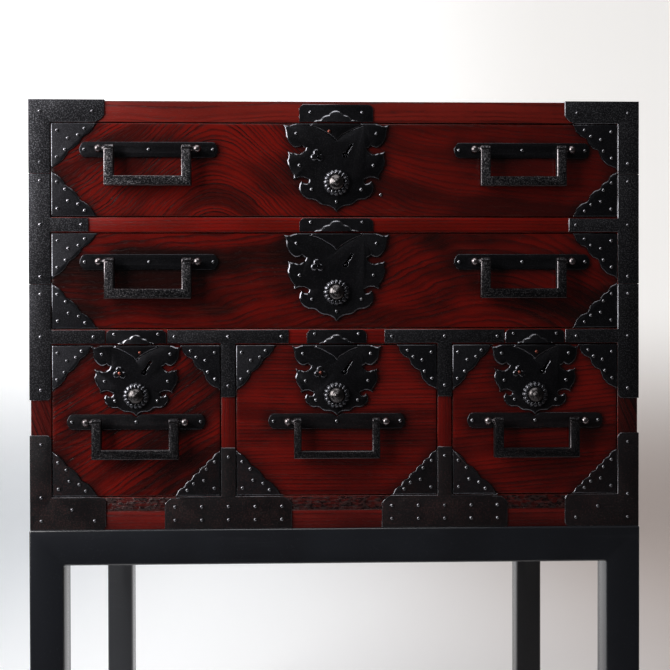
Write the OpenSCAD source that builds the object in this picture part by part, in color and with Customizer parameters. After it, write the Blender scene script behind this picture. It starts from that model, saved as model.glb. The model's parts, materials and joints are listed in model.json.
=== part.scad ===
// Compact iron-bound sea chest with five lockable drawers, standing on a low black stand.
// The front looks towards -Y. The origin lies on the floor under the middle of the whole object.

/* [Chest] */
// Overall width of the wooden case
chest_w = 600; // [560:5:800]
// Overall depth of the wooden case
chest_d = 495; // [400:5:640]
// Thickness of the two sides
side_t = 20; // [14:1:26]
// Thickness of the top board
top_t = 21; // [18:1:30]
// Thickness of the bottom board
base_t = 18; // [12:1:26]
// Height of the rail that lies on the bottom board
sill_h = 14; // [10:1:24]
// Depth of that rail from front to back
sill_d = 30; // [20:1:60]
// Thickness of the back board
back_t = 12; // [8:1:20]
// Thickness of the two inner shelves
shelf_t = 15; // [13:1:22]
// How far the shelves are housed in the sides
housing = 5; // [3:0.5:8]
// Thickness of the two upright dividers
divider_t = 14; // [10:1:22]
// Width of the strips that carry the lower drawers
runner_w = 40; // [34:1:50]

/* [Drawers] */
// Height of the uppermost opening
upper_h = 93; // [90:1:130]
// Height of the middle opening
middle_h = 95; // [90:1:130]
// Height of the lower openings
lower_h = 150; // [125:1:200]
// Width of the middle one of the lower openings
centre_w = 200; // [150:2:240]
// Gap round each drawer front
front_gap = 1; // [0.6:0.1:2]
// Thickness of a drawer front
front_t = 20; // [18:1:26]
// Thickness of a drawer's sides and back
box_t = 10; // [7:1:14]
// Thickness of a drawer's bottom
box_base_t = 6; // [4:1:10]
// Gap under a drawer, above what carries it
box_lift = 0.4; // [0.2:0.1:0.8]
// Gap over a drawer's sides
box_head = 3; // [2:0.5:8]
// Gap behind a closed drawer
box_rear = 3; // [2:0.5:10]

/* [Irons on the case] */
// Thickness of every iron sheet
iron_t = 1.2; // [0.8:0.1:2]
// Gap between two irons that meet
iron_gap = 0.4; // [0.2:0.1:1]
// Length of the irons along the top and bottom edges
corner_arm = 73; // [50:1:90]
// Height of the lower corner irons
bottom_arm_h = 93; // [60:1:110]
// Reach of each iron round the side of the case
wrap_d = 46; // [30:1:80]
// Reach of an edge strap above the shelf that it holds
strap_up = 50; // [30:1:60]
// Reach of the upper strap below its shelf
upper_strap_down = 58; // [40:1:70]
// Reach of the lower strap below its shelf
lower_strap_down = 62; // [40:1:75]
// Left arm of the strap on the upper shelf
left_arm = 57; // [40:1:80]
// Right arm of the strap on the upper shelf
right_arm = 69; // [40:1:80]
// Arms of the straps on the lower shelf
lower_arm = 72.5; // [50:0.5:80]
// Width of the T irons on the lower shelf
shelf_tee_w = 119; // [80:1:124]
// Length of their stems
shelf_tee_stem = 52; // [30:1:60]
// Width of the T irons on the bottom rail
base_tee_w = 125; // [80:1:140]
// Length of their stems
base_tee_stem = 48; // [30:1:60]

/* [Irons on the drawers] */
// Side of the corner irons on the two wide drawers
wide_corner = 45; // [30:1:45]
// Width of the upper corner irons on the lower drawers
narrow_corner_w = 40; // [26:1:45]
// Radius of a nail head
nail_r = 1.8; // [1.2:0.1:2.6]
// Height of a nail head
nail_h = 1.3; // [0.8:0.1:2]
// Radius of a nail's shank
shank_r = 0.7; // [0.5:0.1:1]
// Length of a nail's shank
shank_l = 9; // [5:1:12]
// Length of the shank of a rivet in a lock plate
rivet_l = 3; // [2:0.1:3.4]

/* [Locks] */
// Width of the lock plate on a wide drawer
wide_lock_w = 104; // [80:1:120]
// Height of that plate above the button
wide_lock_rise = 58; // [50:0.5:60]
// Depth of that plate below the button
wide_lock_drop = 28.5; // [20:0.5:30]
// Width of the lock plate on a lower drawer
small_lock_w = 88; // [70:1:100]
// Height of that plate above the button
small_lock_rise = 49.5; // [46:0.5:56]
// Depth of that plate below the button
small_lock_drop = 20; // [16:0.5:26]
// Thickness of a lock plate
lock_plate_t = 2.4; // [2:0.1:4]
// Width of the lock case behind the plate
case_w = 34; // [32:1:40]
// Depth of the lock case
case_depth = 15; // [15:0.5:16]
// Wall of the lock case
case_wall = 1.5; // [1:0.1:2]
// Wood left above the lock case
case_cover = 18; // [12:1:24]
// Radius of the round button
button_r = 8.2; // [6:0.1:9]
// Travel of the button
button_travel = 5; // [3:0.5:5]
// Radius of the petalled ring round the button
ring_r = 12.6; // [11:0.1:15]
// Height of that ring
ring_h = 2.5; // [1.5:0.1:4]
// Petals of that ring
petals = 16; // [8:1:24]
// Width of the bolt
bolt_w = 12; // [8:1:14]
// Thickness of the bolt
bolt_t = 4; // [3:0.5:5]
// Rise of the bolt while the button goes in
bolt_travel = 7; // [5:0.5:8]
// Clearance of the bolt and of the button
lock_fit = 0.3; // [0.1:0.1:0.5]
// Width of the strike plate over a wide drawer
wide_strike_w = 73; // [50:1:90]
// Width of the strike plate over a lower drawer
small_strike_w = 59; // [45:1:60]

/* [Handles] */
// Length of a handle's back plate
handle_plate_w = 135.5; // [110:0.5:140]
// Height of the back plate
handle_plate_h = 15; // [12:0.5:20]
// Thickness of the back plate
handle_plate_t = 2; // [1.5:0.1:3]
// Height of a wide drawer's handles above its opening's floor
wide_handle_z = 66; // [50:1:70]
// Distance of a lower drawer's handle below the tip of its lock plate
small_handle_gap = 5.5; // [4.5:0.5:20]
// Distance of a wide drawer's handles from the ends of its front
handle_inset = 95; // [90:1:110]
// Outside width of the bail
bail_w = 84.5; // [60:0.5:92]
// Depth of the bail below its pins
bail_drop = 36; // [28:1:44]
// Breadth of the bail's bar
bail_bar = 9.5; // [6:0.5:12]
// Breadth of the middle lower bail's bar
slim_bar = 7.5; // [6:0.5:12]
// Thickness of the bail's bar from front to back
bail_t = 8; // [6:0.5:9]
// Radius of the bail's pins
pin_r = 2; // [1.5:0.1:2.5]
// Clearance round the pins
pin_fit = 0.08; // [0.02:0.01:0.1]
// Radius of the round head of an eye post
post_r = 3.8; // [3.4:0.1:6]
// Distance of the pins from the back plate
post_reach = 7; // [6:0.5:10]
// Gap between a bail's shoulder and the eye post
post_gap = 2; // [1.6:0.1:3]

/* [Stand] */
// Height of the stand
stand_h = 400; // [200:10:600]
// How far the stand is wider than the case on each side
stand_lip = 2; // [0:0.5:10]
// Side of the square legs
leg_w = 34; // [24:1:50]
// Height of the rails under the case
stand_rail_h = 35; // [24:1:60]
// Depth that the stand reaches behind the case
stand_rear = 3; // [0:0.5:20]

/* [Hidden] */
$fn = 48;

// The five drawers by number
UPPER = 0;
MIDDLE = 1;
LEFT = 2;
CENTRE = 3;
RIGHT = 4;
DRAWERS = [UPPER, MIDDLE, LEFT, CENTRE, RIGHT];

// Heights above the underside of the case
lower_z = base_t + sill_h;
lower_shelf_z = lower_z + lower_h;
middle_z = lower_shelf_z + shelf_t;
upper_shelf_z = middle_z + middle_h;
upper_z = upper_shelf_z + shelf_t;
top_z = upper_z + upper_h;
chest_h = top_z + top_t;
inner_w = chest_w - 2 * side_t;
inner_d = chest_d - back_t;
divider_x = (centre_w + divider_t) / 2;

// Place of the case's front on the floor plan
handle_reach = handle_plate_t + post_reach + max(post_r, bail_t / 2);
overall_d = handle_reach + chest_d + stand_rear;
front_y = handle_reach - overall_d / 2;

// Iron edges along the stiles
upper_rail_mid = upper_shelf_z + shelf_t / 2;
lower_rail_mid = lower_shelf_z + shelf_t / 2;
upper_strap_top = upper_rail_mid + strap_up;
upper_strap_foot = upper_rail_mid - upper_strap_down;
lower_strap_foot = lower_rail_mid - lower_strap_down;
rail_margin = 0.8;
wrap_corner = 7;
round_corner = 5;
edge_cut = 9;
edge_cut_h = 7;

// Lock details shared by every drawer
case_below = 11;
button_skirt = 3;
dome_h = 5.4;
nipple_r = 3.2;
nipple_h = 1.7;
relief_t = 1.1;
bolt_foot = 12;
bolt_y = 4;
bolt_head_gap = 0.5;
bolt_slope = bolt_travel / button_travel;
wedge_gap = 0.3;
wedge_w = 8;
mortise_h = bolt_travel + 0.5;
spring_t = 0.8;
spring_w = 3;
curve_steps = 3;

// Parting between pieces of one sub-part that lie against each other
seat_gap = 0.05;

// Eye posts and bails: the post's neck and clenched end, the pin's reach past the post's
// middle, and the collar between the pin and the bail
post_neck_r = 2.4;
clench_r = 4.5;
clench_t = 1;
pin_end = 2.5;
collar_r = 3;
collar_t = 1.2;

// Shift of nails in a top or back leaf, which keeps them clear of those in the side leaf
nail_offset = 4;

// Nails of a triangular corner iron, as shares of its two sides
CORNER_NAILS = [[0.13, 0.16], [0.72, 0.12], [0.36, 0.33], [0.58, 0.26], [0.3, 0.58],
    [0.12, 0.74]];
PLATE_NAILS = [[0.76, 0.83], [0.7, 0.29], [0.47, -0.24]];

// Lone nail in the wood of the uppermost drawer, from the middle of its button
LONE_NAIL = [43.8, -11.8];

// Nail near the tip of a wide lock plate, as a share of its drop
TIP_NAIL = 0.66;

// Rivets on the raised lozenges: the drawer, and the place right or left of its middle
LOZENGE_RIVETS = [[UPPER, -7], [LEFT, 4], [RIGHT, 1.3]];
LOZENGE_RIVET_DROP = 0.4;

// Middle of the raised leaf, as shares of a lock plate's half width and rise
LEAF_PLACE = [-0.36, 0.45];

// Ends of the lobes along a corner iron's long side, as shares of it, first those of the left
// irons, then those of the right ones: top, bottom, and bottom of a lower drawer
LEFT_LOBES = [[0.3, 0.62, 1], [0.36, 0.7, 1], [0.36, 0.7, 1]];
RIGHT_LOBES = [[0.3, 0.58, 1], [0.33, 0.63, 0.81, 1], [0.18, 0.35, 0.52, 0.68, 0.84, 1]];
LEFT_SWELL = 0.1;
RIGHT_SWELL = 0.17;

// Right half of the lock plate from its top to its tip: share of the half width, share of the
// rise or, below the button, of the drop, and how far the next stretch bulges in millimetres
LOCK_OUTLINE = [[0, 1, 0], [0.68, 1, 0.8], [0.88, 0.965, -0.6], [1, 0.985, -0.8],
    [0.95, 0.79, 1.3], [0.79, 0.6, 1], [0.65, 0.64, 0.8], [0.57, 0.59, -0.8], [0.64, 0.51, -1.4],
    [0.79, 0.5, -0.5],
    [0.92, 0.53, -1.2], [0.93, 0.37, 1], [0.82, 0.15, -0.6], [0.81, 0.055, -2.4], [0.52, 0.055, -1],
    [0.56, -0.04, -0.8], [0.66, 0.03, 1.6], [0.69, -0.33, 2.4], [0.43, -0.58, -0.5],
    [0.34, -0.69, 0.8], [0.19, -0.78, -1.4]];

// Right half of the raised lozenge, as shares of its half width and half height
LOZENGE_OUTLINE = [[0, 1, 0.05], [0.28, 0.7, 0.06], [0.6, 0.38, 0.06], [1, 0, -0.03],
    [0.35, -0.5, -0.03]];

// Right end of a handle's back plate: three lobes, as shares of its half height
PLATE_END = [[-0.8, 1, 0.13], [-0.22, 0.6, 0.22], [-0.22, -0.6, 0.13], [-0.8, -1, 0]];

function is_wide(d) = d == UPPER || d == MIDDLE;

function open_x(d) = is_wide(d) ? [-inner_w / 2, inner_w / 2]
    : d == LEFT ? [-inner_w / 2, -divider_x - divider_t / 2]
    : d == CENTRE ? [-centre_w / 2, centre_w / 2]
    : [divider_x + divider_t / 2, inner_w / 2];

function open_z(d) = d == UPPER ? [upper_z, top_z]
    : d == MIDDLE ? [middle_z, upper_shelf_z]
    : [lower_z, lower_shelf_z];

function middle_of(pair) = (pair[0] + pair[1]) / 2;
function front_x(d) = [open_x(d)[0] + front_gap, open_x(d)[1] - front_gap];
function front_z(d) = [open_z(d)[0] + front_gap, open_z(d)[1] - front_gap];

function lock_half(d) = (is_wide(d) ? wide_lock_w : small_lock_w) / 2;
function lock_rise(d) = is_wide(d) ? wide_lock_rise : small_lock_rise;
function lock_drop(d) = is_wide(d) ? wide_lock_drop : small_lock_drop;
function lock_x(d) = middle_of(open_x(d));
function lock_z(d) = front_z(d)[1] - lock_rise(d);
function lozenge_w(d) = lock_half(d) * 0.49;
function lozenge_h(d) = lock_rise(d) * 0.255;
function z_of_lozenge(d) = front_z(d)[1] - 2;

function handle_z(d) = is_wide(d) ? open_z(d)[0] + wide_handle_z
    : lock_z(d) - lock_drop(d) - small_handle_gap;
function handle_xs(d) = is_wide(d) ? [front_x(d)[0] + handle_inset, front_x(d)[1] - handle_inset]
    : [middle_of(open_x(d))];
function bar_w(d) = d == CENTRE ? slim_bar : bail_bar;
function post_x() = bail_w / 2 + post_gap + post_r;
function corner_w(d, top) = !is_wide(d) && top ? narrow_corner_w : wide_corner;

// A stretch from p towards q that bulges to its left, without its last point
function bulged(p, q, rise) =
    let (along = q - p, side = [-along[1], along[0]] / norm(along))
    rise == 0 ? [p]
    : [for (i = [0 : curve_steps - 1]) let (t = i / curve_steps)
        p + along * t + side * rise * 4 * t * (1 - t)];

// Points of a half outline, closed by its mirror image
function half_curve(keys, last) = [for (i = [0 : len(keys) - 1])
    let (p = [keys[i][0], keys[i][1]],
        q = i < len(keys) - 1 ? [keys[i + 1][0], keys[i + 1][1]] : last)
    each bulged(p, q, keys[i][2])];
function mirrored(half, last) = concat(half, [last],
    [for (i = [len(half) - 1 : -1 : 0]) if (half[i][0] > 0) [-half[i][0], half[i][1]]]);

function lock_keys(d) = [for (k = LOCK_OUTLINE)
    [k[0] * lock_half(d), k[1] * (k[1] > 0 ? lock_rise(d) : lock_drop(d)), k[2]]];
function lock_points(d) = let (tip = [0, -lock_drop(d)])
    mirrored(half_curve(lock_keys(d), tip), tip);

function lozenge_keys(d) = [for (k = LOZENGE_OUTLINE)
    [k[0] * lozenge_w(d), k[1] * lozenge_h(d), k[2] * lozenge_w(d)]];
function lozenge_points(d) = let (tip = [0, -lozenge_h(d)])
    mirrored(half_curve(lozenge_keys(d), tip), tip);

// Scalloped long side of a corner iron: lobes swell between cusps on the line from a to b
function lobed(a, b, ends, swell) = [for (i = [0 : len(ends) - 1])
    let (from = i == 0 ? 0 : ends[i - 1], share = ends[i] - from)
    each bulged(a + (b - a) * from, a + (b - a) * ends[i], -swell * share * norm(b - a))];

// Puts children, modelled from the case's front and underside, in their place
module in_case() {
    translate([0, front_y, stand_h]) children();
}

// A flat sheet whose back lies at y and whose outline is given in x and z
module sheet(y, thickness) {
    translate([0, y, 0]) rotate([90, 0, 0]) linear_extrude(thickness) children();
}

// A box given by its lowest and highest corner
module block(low, high) {
    translate(low) cube(high - low);
}

// A nail driven in from the front, from the left, from the right, from the top or from behind
module nail_body(length = shank_l) {
    rotate_extrude() polygon([[0, nail_h], [nail_r * 0.45, nail_h], [nail_r * 0.85, nail_h * 0.6],
        [nail_r, 0], [shank_r, 0], [shank_r, -length], [0, -length]]);
}
module front_nail(x, y, z, length = shank_l) {
    translate([x, y, z]) rotate([90, 0, 0]) nail_body(length);
}
module side_nail(x, y, z) {
    translate([x, y, z]) rotate([0, x > 0 ? 90 : -90, 0]) nail_body();
}
module back_nail(x, y, z) {
    translate([x, y, z]) rotate([-90, 0, 0]) nail_body();
}

// Slot for a raised bolt in whatever lies over a drawer
module bolt_mortise(d) {
    half = bolt_w / 2 + 2 * lock_fit;
    block([lock_x(d) - half, bolt_y - 2 * lock_fit, open_z(d)[1] - 0.1],
        [lock_x(d) + half, bolt_y + bolt_t + 2 * lock_fit, open_z(d)[1] + mortise_h]);
}

module top_board() {
    color("#7a1712") in_case() difference() {
        block([-chest_w / 2, 0, top_z], [chest_w / 2, chest_d, chest_h]);
        bolt_mortise(UPPER);
    }
}

module bottom_board() {
    color("#6d140f") in_case() block([-chest_w / 2, 0, 0], [chest_w / 2, chest_d, base_t]);
}

// One side of the case, on the left for dir = -1 and on the right for dir = 1
module side_board(dir) {
    inner = inner_w / 2;
    color("#751611") in_case() difference() {
        mirror([dir > 0 ? 0 : 1, 0, 0]) block([inner, 0, base_t], [inner + side_t, chest_d, top_z]);
        for (z = [lower_shelf_z, upper_shelf_z]) mirror([dir > 0 ? 0 : 1, 0, 0])
            block([inner - 1, -1, z], [inner + housing, inner_d, z + shelf_t]);
    }
}

module back_board() {
    color("#9a7350") in_case() block([-inner_w / 2, inner_d, base_t], [inner_w / 2, chest_d, top_z]);
}

// A shelf housed in both sides, with a mortise over each lock below it
module shelf(z, below) {
    half = inner_w / 2 + housing;
    color("#7a1712") in_case() difference() {
        block([-half, 0, z], [half, inner_d, z + shelf_t]);
        for (d = below) bolt_mortise(d);
    }
}

module dividers() {
    color("#751611") in_case() for (side = [-1, 1]) {
        x = side * divider_x;
        block([x - divider_t / 2, 0, lower_z], [x + divider_t / 2, inner_d, lower_shelf_z]);
    }
}

// Front rail on the bottom board, and behind it the strips that carry the lower drawers
module base_rails() {
    half = inner_w / 2;
    color("#6d140f") in_case() {
        block([-half, 0, base_t], [half, sill_d, lower_z]);
        for (x = [-half, -divider_x - runner_w / 2, divider_x - runner_w / 2, half - runner_w])
            block([x, sill_d + seat_gap, base_t], [x + runner_w, inner_d, lower_z]);
    }
}

// Flat bar with its two corners at the far end rounded
module rounded_bar(length, height, corner) {
    square([length - corner, height]);
    translate([0, corner]) square([length, height - 2 * corner]);
    for (y = [corner, height - corner]) translate([length - corner, y]) circle(corner);
}

// Arm of a corner iron: its end is upright, and its inner corner is cut in a low curve
module cut_arm(length, height) {
    cut = bulged([length, height - edge_cut_h], [length - edge_cut, height], -0.8);
    polygon(concat([[0, 0], [length, 0]], cut, [[length - edge_cut, height], [0, height]]));
}

// Side leaf of an iron that wraps round the left edge of the case, from z0 to z1
module side_leaf(z0, z1) {
    translate([-chest_w / 2 - iron_t, -iron_t, z0]) rotate([90, 0, 90]) linear_extrude(iron_t)
        rounded_bar(wrap_d + iron_t, z1 - z0, wrap_corner);
}

// Upper left corner iron: front, side and top leaf
module upper_corner_iron() {
    x0 = -chest_w / 2;
    foot = upper_strap_top + iron_gap;
    sheet(0, iron_t) {
        translate([x0, chest_h]) mirror([0, 1]) cut_arm(corner_arm, top_t);
        translate([x0, foot]) square([side_t, chest_h - foot]);
    }
    side_leaf(foot, chest_h);
    translate([x0, -iron_t, chest_h]) linear_extrude(iron_t)
        rounded_bar_up(corner_arm, wrap_d + iron_t);
    translate([x0 - iron_t, -iron_t, chest_h])
        cube([2 * iron_t, wrap_d + iron_t - wrap_corner, iron_t]);
}
module rounded_bar_up(width, length) {
    translate([width, 0]) rotate(90) rounded_bar(length, width, wrap_corner);
}

// Strap round the left edge with an arm on the upper shelf's edge
module edge_strap(z0, z1, arm) {
    x0 = -chest_w / 2;
    sheet(0, iron_t) {
        translate([x0, z0]) square([side_t, z1 - z0]);
        translate([x0, upper_shelf_z + rail_margin]) square([arm, shelf_t - 2 * rail_margin]);
    }
    side_leaf(z0, z1);
}

// The lowest strap ends in a round lower corner
module lower_edge_strap() {
    x0 = -chest_w / 2;
    top = upper_strap_foot - iron_gap;
    sheet(0, iron_t) {
        translate([x0, top]) mirror([0, 1]) round_foot(side_t, top - lower_strap_foot);
        translate([x0, lower_shelf_z + rail_margin]) square([lower_arm, shelf_t - 2 * rail_margin]);
    }
    side_leaf(lower_strap_foot, top);
}

// Upright bar whose far corner on the right is round
module round_foot(width, length) {
    square([width, length - round_corner]);
    square([width - round_corner, length]);
    translate([width - round_corner, length - round_corner]) circle(round_corner);
}

// Lower left corner iron
module lower_corner_iron() {
    x0 = -chest_w / 2;
    sheet(0, iron_t) {
        translate([x0, 0]) round_foot(side_t, bottom_arm_h);
        translate([x0, 0]) rounded_bar(corner_arm, lower_z, round_corner);
    }
    side_leaf(0, bottom_arm_h);
}

// T iron over a divider on the lower shelf, and one on the bottom rail
module shelf_tee() {
    stem_foot = lower_shelf_z - shelf_tee_stem;
    sheet(0, iron_t) {
        translate([-shelf_tee_w / 2, lower_shelf_z + rail_margin])
            square([shelf_tee_w, shelf_t - 2 * rail_margin]);
        translate([-divider_t / 2, stem_foot]) square([divider_t, shelf_tee_stem + 2]);
    }
}
module base_tee() {
    half = base_tee_w / 2;
    cut = bulged([half, lower_z - edge_cut_h], [half - edge_cut, lower_z], -0.8);
    sheet(0, iron_t) {
        polygon(mirrored(concat([[0, 0.3], [half, 0.3]], cut), [half - edge_cut, lower_z]));
        polygon([[half - edge_cut, lower_z], [edge_cut - half, lower_z], [0, lower_z / 2]]);
        translate([-divider_t / 2, lower_z - 2]) square([divider_t, base_tee_stem + 2]);
    }
}

// Plate over a lock on the rail above it, with the upper half of the raised lozenge
module strike_plate(d) {
    z0 = open_z(d)[1];
    height = (d == UPPER ? top_t - 3 : shelf_t - rail_margin) - rail_margin;
    half = (is_wide(d) ? wide_strike_w : small_strike_w) / 2;
    notch = 4;
    sheet(0, iron_t) translate([lock_x(d), z0 + rail_margin])
        polygon(concat([[-half, 0], [half, 0]],
            bulged([half, height - notch], [half - notch, height], -0.6),
            [[half - notch, height]],
            bulged([notch - half, height], [-half, height - notch], -0.6),
            [[-half, height - notch]]));
    sheet(-iron_t, lock_plate_t - iron_t + relief_t) intersection() {
        translate([lock_x(d), z_of_lozenge(d)]) polygon(lozenge_points(d));
        translate([lock_x(d) - half, z0 + rail_margin]) square([2 * half, height]);
    }
}

// Plain iron round a rear corner of the case: a side leaf and a back leaf
module rear_corner_iron(z0, z1) {
    translate([0, chest_d, 0]) mirror([0, 1, 0]) side_leaf(z0, z1);
    translate([-chest_w / 2, chest_d + iron_t, z0]) rotate([90, 0, 0])
        linear_extrude(iron_t) rounded_bar(corner_arm, z1 - z0, wrap_corner);
}

module frame_irons() {
    color("#26262a") in_case() {
        for (side = [0, 1]) mirror([side, 0, 0]) {
            upper_corner_iron();
            edge_strap(upper_strap_foot, upper_strap_top, side == 0 ? left_arm : right_arm);
            lower_edge_strap();
            lower_corner_iron();
            translate([-divider_x, 0, 0]) shelf_tee();
            translate([-divider_x, 0, 0]) base_tee();
            rear_corner_iron(chest_h - corner_arm, chest_h);
            rear_corner_iron(0, bottom_arm_h);
        }
        for (d = DRAWERS) strike_plate(d);
    }
}

// Nails of the irons on one half of the front, side and back, for the left half
module half_frame_nails(arm) {
    x0 = -chest_w / 2;
    stile = x0 + side_t / 2;
    inset = 7;
    for (p = [[stile, chest_h - top_t / 2], [x0 + corner_arm - 12, chest_h - top_t / 2],
            [stile, upper_strap_top + inset + 4], [stile, upper_strap_top - inset],
            [stile, upper_rail_mid], [x0 + arm - inset, upper_rail_mid],
            [stile, upper_strap_foot + inset], [stile, upper_strap_foot - inset - 3],
            [stile, lower_rail_mid], [x0 + lower_arm - 11, lower_rail_mid],
            [stile, lower_strap_foot + inset + 3],
            [stile, bottom_arm_h - inset - 2], [stile, lower_z], [x0 + 40, base_t + 2],
            [stile, base_t / 2], [x0 + corner_arm - 11, base_t / 2]])
        front_nail(p[0], -iron_t, p[1]);
    for (i = [-1, 0, 1])
        front_nail(i * (shelf_tee_w / 2 - inset) - divider_x, -iron_t, lower_rail_mid);
    front_nail(-divider_x, -iron_t, lower_shelf_z - shelf_tee_stem + inset + 4);
    for (i = [-2 : 2], z = [9, 22])
        front_nail(i * (base_tee_w / 4 - 5) - divider_x, -iron_t, z);
    front_nail(-divider_x, -iron_t, lower_z + base_tee_stem - inset - 2);
    edges = [[upper_strap_top + iron_gap, chest_h], [upper_strap_foot, upper_strap_top],
        [lower_strap_foot, upper_strap_foot - iron_gap], [0, bottom_arm_h]];
    for (e = edges, z = [e[0] + inset, e[1] - inset], y = [inset, wrap_d - inset])
        side_nail(x0 - iron_t, y, z);
    rear = [[chest_h - corner_arm, chest_h], [0, bottom_arm_h]];
    for (e = rear, z = [e[0] + inset, e[1] - inset]) {
        for (y = [inset, wrap_d - inset]) side_nail(x0 - iron_t, chest_d - y, z);
        for (x = [inset, corner_arm - inset]) back_nail(x0 + x, chest_d + iron_t, z + nail_offset);
    }
    for (x = [inset, corner_arm - inset], y = [inset, wrap_d - inset])
        translate([x0 + x, y + nail_offset, chest_h + iron_t]) nail_body();
}

module frame_nails() {
    color("#3a3a3e") in_case() {
        half_frame_nails(left_arm);
        mirror([1, 0, 0]) half_frame_nails(right_arm);
        for (d = DRAWERS, side = [-1, 1])
            front_nail(lock_x(d) + side * lozenge_w(d), -iron_t, open_z(d)[1] + shelf_t * 0.67);
    }
}

module stand_legs() {
    half = chest_w / 2 + stand_lip;
    color("#17181b") translate([0, front_y, 0])
        for (x = [-half, half - leg_w], y = [-stand_lip, chest_d + stand_rear - leg_w])
            translate([x, y, 0]) cube([leg_w, leg_w, stand_h]);
}

module stand_rails() {
    half = chest_w / 2 + stand_lip;
    z = stand_h - stand_rail_h;
    y0 = -stand_lip;
    y1 = chest_d + stand_rear;
    color("#17181b") translate([0, front_y, 0]) {
        for (y = [y0, y1 - leg_w]) block([leg_w - half, y, z], [half - leg_w, y + leg_w, stand_h]);
        for (x = [-half, half - leg_w]) block([x, y0 + leg_w, z], [x + leg_w, y1 - leg_w, stand_h]);
    }
}

// A drawer's front board, with the pocket for its lock and the slot for the bolt
module drawer_front(d) {
    x = front_x(d);
    z = front_z(d);
    half = case_w / 2 + lock_fit / 2;
    color("#8a1a12") in_case() difference() {
        block([x[0], 0, z[0]], [x[1], front_t, z[1]]);
        block([lock_x(d) - half, -1, lock_z(d) - case_below - lock_fit / 2],
            [lock_x(d) + half, case_depth + lock_fit / 2, z[1] - case_cover + lock_fit / 2]);
        block([lock_x(d) - bolt_w / 2 - lock_fit, bolt_y - lock_fit, z[1] - case_cover - 1],
            [lock_x(d) + bolt_w / 2 + lock_fit, bolt_y + bolt_t + lock_fit, z[1] + 1]);
    }
}

// Bottom, two sides and back of a drawer
module drawer_box(d) {
    x = front_x(d);
    z0 = open_z(d)[0] + box_lift;
    z1 = open_z(d)[1] - box_head;
    y1 = inner_d - box_rear;
    color("#b08a5e") in_case() {
        block([x[0], front_t, z0], [x[1], y1, z0 + box_base_t]);
        for (side = [x[0], x[1] - box_t])
            block([side, front_t, z0 + box_base_t + seat_gap], [side + box_t, y1, z1]);
        block([x[0] + box_t + seat_gap, y1 - box_t, z0 + box_base_t + seat_gap],
            [x[1] - box_t - seat_gap, y1, z1]);
    }
}

// Triangular iron with its right angle at the origin and a scalloped long side
module corner_iron_outline(width, height, ends, swell) {
    a = [width - 2, 1];
    b = [1, height - 2];
    polygon(concat([[0, 0], [width, 0]], lobed(a, b, ends, swell), [b, [0, height]]));
}

// The four corner irons of a drawer
module corner_irons(d) {
    x = front_x(d);
    z = front_z(d);
    color("#242428") in_case() sheet(0, iron_t)
        for (side = [0, 1], top = [0, 1]) {
            place = top == 1 ? 0 : is_wide(d) ? 1 : 2;
            translate([x[side], z[top]]) mirror([side, 0]) mirror([0, top])
                corner_iron_outline(corner_w(d, top == 1), wide_corner,
                    side == 0 ? LEFT_LOBES[place] : RIGHT_LOBES[place],
                    side == 0 ? LEFT_SWELL : RIGHT_SWELL);
        }
}

// Nails of one drawer: corner irons, lock plate and handle plates, and the lone one
module drawer_nails(d) {
    x = front_x(d);
    z = front_z(d);
    color("#3a3a3e") in_case() {
        for (side = [0, 1], top = [0, 1], n = CORNER_NAILS)
            front_nail(x[side] + (side == 0 ? 1 : -1) * n[0] * corner_w(d, top == 1), -iron_t,
                z[top] + (top == 0 ? 1 : -1) * n[1] * wide_corner);
        for (side = [-1, 1], n = PLATE_NAILS)
            front_nail(lock_x(d) + side * n[0] * lock_half(d), -lock_plate_t,
                lock_z(d) + n[1] * (n[1] > 0 ? lock_rise(d) : lock_drop(d)));
        for (hx = handle_xs(d), side = [-1, 0, 1])
            front_nail(hx + side * (handle_plate_w / 2 - 5), -handle_plate_t, handle_z(d));
        if (d == UPPER) front_nail(lock_x(d) + LONE_NAIL[0], 0, lock_z(d) + LONE_NAIL[1]);
        if (is_wide(d))
            front_nail(lock_x(d), -lock_plate_t, lock_z(d) - TIP_NAIL * lock_drop(d));
        plate_rivets(d);
    }
}

// Short rivets in the raised lozenge and, on a lower drawer, in the raised leaf
module plate_rivets(d) {
    y = -lock_plate_t - relief_t;
    for (r = LOZENGE_RIVETS) if (r[0] == d)
        front_nail(lock_x(d) + r[1], y, z_of_lozenge(d) - LOZENGE_RIVET_DROP * lozenge_h(d), rivet_l);
    if (!is_wide(d)) front_nail(lock_x(d) + LEAF_PLACE[0] * lock_half(d), y,
        lock_z(d) + LEAF_PLACE[1] * lock_rise(d), rivet_l);
}

// Round hole and slanted slot for the key
module keyhole(d) {
    r = 2.7;
    slot_w = 2.6;
    slot_l = 13;
    translate([lock_x(d) + 0.17 * lock_half(d), lock_z(d) + 0.47 * lock_rise(d)]) {
        circle(r);
        rotate(-32) translate([-slot_w / 2, 0]) square([slot_w, slot_l]);
    }
}

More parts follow.
